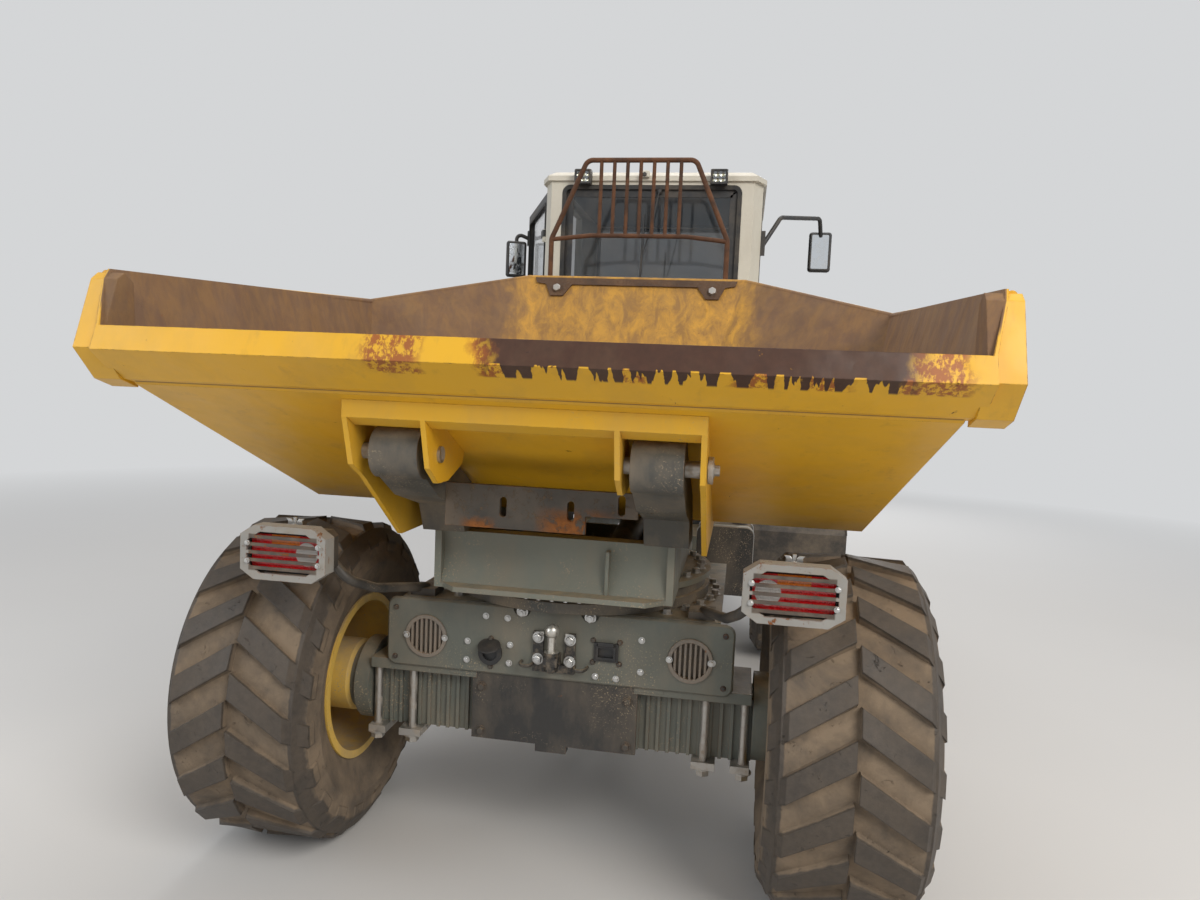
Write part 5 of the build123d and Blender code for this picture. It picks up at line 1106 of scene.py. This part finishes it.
@dataclass(frozen=True)
class Cushion:
    """A padded cushion: crowned faces, sides pulled in between the corners, and a sewn channel."""

    name: str
    low: Point
    high: Point
    crown: float
    pull: float = 0.010
    lean: Matrix = Matrix.Identity(4)

    def build(self) -> Piece:
        """Builds the cushion."""
        piece = Bench.block(self.name, self.low, self.high)
        with Bench.edit(piece, lambda face: True):
            bpy.ops.mesh.subdivide(number_cuts=7)
        centre = (Vector(self.low) + Vector(self.high)) / 2
        half = (Vector(self.high) - Vector(self.low)) / 2
        thin = min(range(3), key=lambda k: half[k])
        wide = [k for k in range(3) if k != thin]
        for vertex in piece.data.vertices:
            share = [(vertex.co[k] - centre[k]) / half[k] for k in range(3)]
            a, b = (max(1 - share[k] ** 2, 0) for k in wide)
            vertex.co[thin] += math.copysign(self.crown * a * b * abs(share[thin]), share[thin])
            for k, other in (wide, wide[::-1]):
                bow = self.pull * (1 - share[other] ** 2) * abs(share[k]) ** 3
                vertex.co[k] -= math.copysign(bow, share[k])

        def panel(face: Face) -> bool:
            away = max(abs(face.center[k] - centre[k]) / half[k] for k in wide)
            return face.normal[thin] > 0.7 and away < 0.70

        with Bench.edit(piece, panel):
            bpy.ops.mesh.inset(thickness=0.004, depth=-0.006)
            bpy.ops.mesh.inset(thickness=0.004, depth=0.006)
        Bench.modify(piece, "BEVEL", width=0.016, segments=2, limit_method="ANGLE", angle_limit=0.9)
        Bench.modify(piece, "SUBSURF", levels=1, render_levels=1)
        piece.data.transform(self.lean)
        Bench.take(piece)
        bpy.ops.object.shade_smooth()
        return piece


class DriverSeat(Assembly):
    """The driver's seat: sprung pedestal, cushions, head restraint and arm rests."""

    back = CAB_REAR_Y + 0.30
    front = CAB_REAR_Y + 0.80

    def build(self) -> None:
        """Builds the seat in the space of its plain solid."""
        y0, y1 = self.back, self.front
        parts = [Bench.block("seat_plinth", (-0.185, y0 + 0.035, 1.110), (0.185, y1 - 0.085, 1.200), 0.012)]
        for i in range(5):
            z, inset = 1.205 + i * 0.044, 0.012 * (i % 2)
            parts.append(Bench.block("fold", (-0.160 + inset, y0 + 0.060 + inset, z),
                                     (0.160 - inset, y1 - 0.110 - inset, z + 0.044), 0.014))
        pan = Bench.block("seat_pan", (-0.225, y0 + 0.015, 1.425), (0.225, y1 - 0.02, 1.452), 0.012)
        with Bench.edit(pan, lambda face: face.normal.z < -0.99):
            bpy.ops.mesh.inset(thickness=0.05)
            bpy.ops.transform.translate(value=(0, 0, -0.012))
        shell = Bench.block("seat_shell", (-0.205, y0 - 0.015, 1.500), (0.205, y0 + 0.020, 2.050), 0.014)
        lean = about((0.0, y0 + 0.03, 1.540), 6.5, "X")
        shell.data.transform(lean)
        self.fit(Bench.join("seat_base", parts + [pan, shell]), Look.BLACK_PLASTIC)
        rests = []
        for x in (-0.222, 0.222):
            rest = Bench.block("rest", (x - 0.022, y0 + 0.06, 1.700), (x + 0.018, y0 + 0.340, 1.738),
                               0.014, 3)
            with Bench.edit(rest, lambda face: face.normal.y > 0.9):
                bpy.ops.transform.resize(value=(0.8, 1, 0.7))
            rests.append(rest)
        self.fit(Bench.join("arm_rests", rests), Look.BLACK_PLASTIC)
        for cushion in (
                Cushion("seat_pad", (-0.225, y0 + 0.010, 1.452), (0.225, y1 - 0.012, 1.535), 0.020),
                Cushion("seat_back", (-0.215, y0 + 0.014, 1.560), (0.215, y0 + 0.090, 2.020),
                        0.018, 0.012, lean),
                Cushion("seat_head", (-0.130, y0 + 0.018, 2.010), (0.130, y0 + 0.080, 2.130),
                        0.012, 0.006, lean)):
            piece = cushion.build()
            self.fit(piece, Look.SEAT_FABRIC)
            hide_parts("operator_seat")


class CabTrim(Assembly):
    """Window seals, linings, wipers, grab rails, lamp and mirror faces, and the roof's panel."""

    y = CAB_REAR_Y
    half = 0.640
    # Turns a piece drawn on the shut door to where the door stands ajar.
    ajar = about((-0.654, CAB_REAR_Y + 0.127, 0.0), 22.0, "Z")

    def seals(self) -> None:
        """Black seals round the three panes and the door's light, and the rear pane's printed border."""
        y = self.y
        for name, place, size in (("seal_rear", across((0, y + 0.001, 2.204)), (1.044, 1.336)),
                                  ("seal_front", across((0, y + 1.349, 2.144)), (1.088, 1.456)),
                                  ("seal_right", along((self.half - 0.001, y + 0.5625, 2.174)),
                                   (0.863, 1.396))):
            self.fit(Bench.hoop(name, place, size, 0.047, 0.026, 0.010), Look.RUBBER)
        door = self.ajar @ along((-self.half - 0.001, y + 0.5625, 2.1465))
        self.fit(Bench.hoop("seal_door", door, (0.760, 1.339), 0.042, 0.018, 0.008), Look.RUBBER, "door")
        border = Bench.hoop("border_rear", across((0, y + 0.0155, 2.204)), (1.034, 1.326),
                            0.045, 0.062, 0.003)
        self.fit(border, Look.BLACK_PLASTIC)

    def lining(self) -> None:
        """The head lining, the little camera under the roof's rear edge and two wipers."""
        y = self.y
        lining = Bench.block("head_lining", (-0.535, y + 0.055, 2.872), (0.535, y + 1.295, 2.888), 0.004)
        with Bench.edit(lining, lambda face: face.normal.z < -0.99):
            bpy.ops.mesh.inset(thickness=0.07)
            bpy.ops.transform.translate(value=(0, 0, 0.006))
        self.fit(lining, Look.BLACK_PLASTIC)
        case = Bench.block("roof_camera", (-0.064, y - 0.052, 2.905), (-0.006, y - 0.019, 2.943), 0.006)
        eye = Bench.turned("camera_eye", [(0.0, 0.006), (0.010, 0.006), (0.013, 0.0), (0.0, 0.0)],
                           (-0.035, y - 0.052, 2.920), BACK, 20)
        self.fit(case, Look.CAB_CREAM)
        self.fit(eye, Look.BLACK_PLASTIC)
        outline = [(0.0, 0.022), (0.010, 0.020), (0.016, 0.012), (0.018, 0.0), (0.0, 0.0)]
        for name, face, way in (("wiper_rear", y + 0.004, -1.0), ("wiper_front", y + 1.346, 1.0)):
            boss = Bench.turned("boss", outline, (0.05, face, 2.835), (0, way, 0), 16)
            arm = Bench.tube("arm", [(0.05, face + way * 0.018, 2.835), (0.02, face + way * 0.026, 2.640),
                                     (-0.03, face + way * 0.014, 2.480)], 0.004)
            blade = Bench.tube("blade", [(-0.035, face + way * 0.008, 2.700),
                                         (-0.032, face + way * 0.012, 2.480),
                                         (-0.045, face + way * 0.008, 2.260)], 0.006)
            self.fit(Bench.join(name, [boss, arm, blade]), Look.BLACK_PLASTIC)

    def rails(self) -> None:
        """Grab rails beside the doorway and at the right front post."""
        y = self.y + 1.030
        for side, sign in SIDES:
            x, out = sign * self.half, sign * 0.050
            route = [(x, 1.420), (x + out, 1.420), (x + out, 1.500),
                     (x + out, 2.150), (x + out, 2.230), (x, 2.230)]
            parts = [Bench.tube(f"rail_{side}", [(a, y, b) for a, b in route], 0.0125)]
            for z in (1.420, 2.230):
                pad = Bench.disc("pad", (x + out * 0.06, y, z), (out, 0, 0), 0.026, 0.008, 20)
                parts.append(Bench.modify(pad, "BEVEL", width=0.002, segments=2))
            self.fit(Bench.join(f"rail_{side}", parts), Look.BLACK_PAINT)

    def faces(self) -> None:
        """Lens and bezel of the two work lamps, and glass and bezel of the two mirrors."""
        y, z = self.y - 0.070, 2.903
        for side, sign in SIDES:
            x = sign * 0.390
            lens = Bench.block(f"work_lens_{side}", (x - 0.038, y - 0.004, z - 0.032),
                               (x + 0.038, y + 0.006, z + 0.032), 0.003)
            self.fit(lens, Look.LED_LENS)
            bezel = Bench.hoop(f"work_bezel_{side}", across((x, y - 0.002, z)), (0.096, 0.082),
                               0.010, 0.010, 0.012)
            self.fit(bezel, Look.BLACK_PLASTIC)
        for side, body, turn, (x, y, z) in (
                ("right", "front_frame", Matrix.Identity(4), (1.016, self.y + 0.615, 2.605)),
                ("left", "door", self.ajar, (-0.728, self.y + 0.933, 2.560))):
            glass = Bench.block(f"mirror_glass_{side}", (x - 0.054, y - 0.003, z - 0.108),
                                (x + 0.054, y + 0.004, z + 0.108), 0.0025)
            glass.data.transform(turn)
            self.fit(glass, Look.MIRROR_GLASS, body)
            bezel = Bench.hoop(f"mirror_bezel_{side}", turn @ across((x, y - 0.001, z)), (0.124, 0.232),
                               0.018, 0.010, 0.012)
            self.fit(bezel, Look.BLACK_PLASTIC, body)

    def build(self) -> None:
        """Adds all of the cab's trim."""
        self.seals()
        self.lining()
        self.rails()
        self.faces()
        panel = Bench.block("roof_panel", (-0.44, self.y + 0.20, 2.938), (0.44, self.y + 1.12, 2.9505), 0.006)
        with Bench.edit(panel, lambda face: face.normal.z > 0.99):
            bpy.ops.mesh.inset(thickness=0.10)
            bpy.ops.transform.translate(value=(0, 0, -0.006))
        self.fit(panel, Look.CAB_CREAM)


class HoodTrim(Assembly):
    """Side louvres, latches, lifting handle, head lamp rims and the bumper's bolts."""

    body = "hood"
    start = from_axle(3.420)
    end = from_axle(4.340)
    half = 0.520

    def louvres(self) -> None:
        """Two rows of pressed louvres on each side."""
        model = Bench.block("louvre", (-0.085, 0.0, -0.010), (0.085, 0.012, 0.010))
        with Bench.edit(model, lambda face: face.normal.y > 0.9):
            bpy.ops.transform.resize(value=(0.92, 1, 0.45))
            bpy.ops.transform.translate(value=(0, 0, -0.005))
        Bench.modify(model, "BEVEL", width=0.003, segments=2)
        places = [Matrix.Translation((sign * self.half, self.start + 0.24 + row * 0.26, 1.20 + i * 0.034))
                  @ Matrix.Rotation(-sign * QUARTER, 4, "Z")
                  for sign in (-1, 1) for row in (0, 1) for i in range(8)]
        self.fit(Bench.repeat("hood_louvres", model, places), Look.MACHINE_YELLOW)

    def latches(self) -> None:
        """A rubber pull latch low on each side, and a handle across the nose."""
        for side, sign in SIDES:
            near, far = sorted((sign * (self.half - 0.002), sign * (self.half + 0.012)))
            latch = Bench.block(f"hood_latch_{side}", (near, self.end - 0.20, 1.085),
                                (far, self.end - 0.16, 1.175), 0.004)
            with Bench.edit(latch, lambda face: face.normal.z < -0.9):
                bpy.ops.transform.resize(value=(1, 1.7, 1))
            self.fit(latch, Look.RUBBER)
        route = ((-0.11, 0.0), (-0.11, 0.040), (-0.06, 0.044), (0.06, 0.044), (0.11, 0.040), (0.11, 0.0))
        handle = Bench.tube("hood_handle", [(x, self.end + out, 1.46) for x, out in route], 0.008)
        self.fit(handle, Look.BLACK_PAINT)

    def build(self) -> None:
        """Adds the trim of the hood end."""
        self.louvres()
        self.latches()
        y = 2.665
        outline = [(0.061, 0.0), (0.063, 0.018), (0.067, 0.020), (0.073, 0.016), (0.076, 0.0), (0.061, 0.0)]
        for side, sign in SIDES:
            rim = Bench.turned(f"head_lamp_rim_{side}", outline, (sign * 0.400, y, 0.925), AHEAD, 40)
            self.fit(rim, Look.CYLINDER_STEEL, "front_frame")
        bolts = [(x, y, z) for x in (-0.22, 0.22) for z in (0.70, 0.96)]
        self.bolts("nose_bolts", HexBolt(0.032, 0.006), Look.BRIGHT_STEEL, bolts, AHEAD, "front_frame")


class EngineTop(Assembly):
    """What shows on the engine once the hood is lifted."""

    top = 1.400
    start = from_axle(3.480)
    end = from_axle(4.180)

    def rocker_cover(self) -> None:
        """A finned light-alloy cover with its bolts and oil filler."""
        y0, y1, top = self.start + 0.10, self.end - 0.12, self.top
        parts = [Bench.block("cover", (-0.02, y0, top), (0.20, y1, top + 0.055), 0.014, 3)]
        for i in range(9):
            y = y0 + 0.040 + i * (y1 - y0 - 0.080) / 8
            parts.append(Bench.block("fin", (0.0, y - 0.004, top + 0.050),
                                     (0.18, y + 0.004, top + 0.066), 0.002))
        self.fit(Bench.join("rocker_cover", parts), Look.DUSTY_STEEL)
        bolts = [(x, y0 + t * (y1 - y0), top) for x in (-0.034, 0.214) for t in (0.05, 0.35, 0.65, 0.95)]
        self.bolts("cover_bolts", HexBolt(0.016), Look.BRIGHT_STEEL, bolts, UP)
        outline = [(0.0, 0.022), (0.022, 0.022), (0.030, 0.014), (0.031, 0.0), (0.0, 0.0)]
        cap = Bench.turned("oil_cap", outline, (0.09, y1 - 0.05, top + 0.062), UP, 24)
        self.fit(cap, Look.MACHINE_YELLOW)

    def air_filter(self) -> None:
        """A canister on its cradle, and the pipe down to the engine."""
        x, z, y0, y1 = -0.155, self.top + 0.078, self.start + 0.16, self.end - 0.20
        length = y1 - y0
        outline = [(0.0, 0.0), (0.050, 0.0), (0.062, 0.010), (0.064, 0.060), (0.068, 0.064),
                   (0.068, 0.076), (0.064, 0.080), (0.064, length - 0.05), (0.058, length - 0.02),
                   (0.036, length), (0.0, length)]
        self.fit(Bench.turned("air_filter", outline, (x, y0, z), AHEAD, 40), Look.BLACK_PLASTIC)
        cradle = [Bench.block("cradle", (x - 0.060, y - 0.012, self.top),
                              (x + 0.060, y + 0.012, z - 0.040), 0.004)
                  for y in (y0 + 0.11, y1 - 0.09)]
        self.fit(Bench.join("filter_cradle", cradle), Look.BLACK_PAINT)
        route = [(x, y1 - 0.01, z), (x, y1 + 0.07, z), (x + 0.03, y1 + 0.11, z - 0.01),
                 (x + 0.08, y1 + 0.11, z - 0.05), (x + 0.08, y1 + 0.11, self.top - 0.01)]
        self.fit(Bench.tube("intake_pipe", route, 0.026, 12), Look.RUBBER)

    def build(self) -> None:
        """Adds the engine's top."""
        self.rocker_cover()
        self.air_filter()


class RunningGear(Assembly):
    """Nuts on the axle studs, brake lines, fender edges, and fittings of the tank and battery box."""

    # X, Y behind the axle and Z of half a brake line, from its middle out to the brake.
    line = ((0.0, 0.164, 0.640), (0.20, 0.154, 0.620), (0.40, 0.104, 0.655),
            (0.66, 0.104, 0.640), (0.70, 0.100, 0.585))
    # Y from the front axle and Z of half a fender's edge, from the top down.
    edge = ((0.380, 1.2515), (0.396, 1.250), (0.652, 0.905))
    cap = [(0.0, 0.030), (0.030, 0.030), (0.038, 0.024), (0.040, 0.0),
           (0.046, 0.0), (0.046, -0.006), (0.0, -0.006)]

    def axles(self) -> None:
        """Nuts under the rear axle's clamps, bolts on the under-plate, and the brakes' steel lines."""
        nuts = [(sign * x, from_axle(y), 0.427)
                for sign in (1, -1) for x in (0.525, 0.657) for y in (-0.112, 0.112)]
        self.bolts("clamp_nuts", HexBolt(0.042), Look.DUSTY_STEEL, nuts, DOWN, "rear_frame")
        guard = [(x, from_axle(-0.141), z) for x in (-0.26, 0.26) for z in (0.48, 0.64)]
        self.bolts("guard_bolts", HexBolt(0.022), Look.BLACK_PAINT, guard, BACK, "rear_frame")
        halves = [(-x, y, z) for x, y, z in self.line[:0:-1]] + list(self.line)
        for end, body, axle in (("rear", "rear_frame", REAR_AXLE_Y), ("front", "front_frame", FRONT_AXLE_Y)):
            line = Bench.tube(f"brake_line_{end}", [(x, axle + y, z) for x, y, z in halves], 0.005)
            self.fit(line, Look.BLACK_PAINT, body)

    def fender_edges(self) -> None:
        """A rubber strip along the outer edge of each front fender."""
        route = [(-y, z) for y, z in self.edge[::-1]] + list(self.edge)
        for side, sign in SIDES:
            points = [(sign * 1.221, FRONT_AXLE_Y + y, z) for y, z in route]
            self.fit(Bench.tube(f"fender_strip_{side}", points, 0.006), Look.RUBBER)

    def tank(self) -> None:
        """Filler cap and straps of the fuel tank, and the battery box's lid."""
        y = from_axle(1.865)
        self.fit(Bench.turned("filler_cap", self.cap, (0.61, y, 0.960), UP, 24), Look.BLACK_PLASTIC)
        straps = [Bench.hoop("strap", across((0.5352, y + offset, 0.770)), (0.3160, 0.386),
                             0.047, 0.005, 0.034)
                  for offset in (-0.10, 0.10)]
        self.fit(Bench.join("tank_straps", straps), Look.BRIGHT_STEEL)
        lid = Bench.block("battery_lid", (-0.694, from_axle(1.712), 0.938),
                          (-0.382, from_axle(2.018), 0.952), 0.005)
        self.fit(lid, Look.BLACK_PAINT)

    def build(self) -> None:
        """Adds the running gear's small parts."""
        self.axles()
        self.fender_edges()
        self.tank()


def main() -> None:
    """Builds the machine's looks in order."""
    Studio().build()
    for look in Look:
        for node in look.nodes:
            look.wear(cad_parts[node].data)
    for assembly in (Wheels(), SlewGear(), TailEnd(), DriverSeat(), CabTrim(), HoodTrim(), EngineTop(),
                     RunningGear()):
        log.info("building %s", type(assembly).__name__)
        assembly.build()


if __name__ == "__main__":
    main()
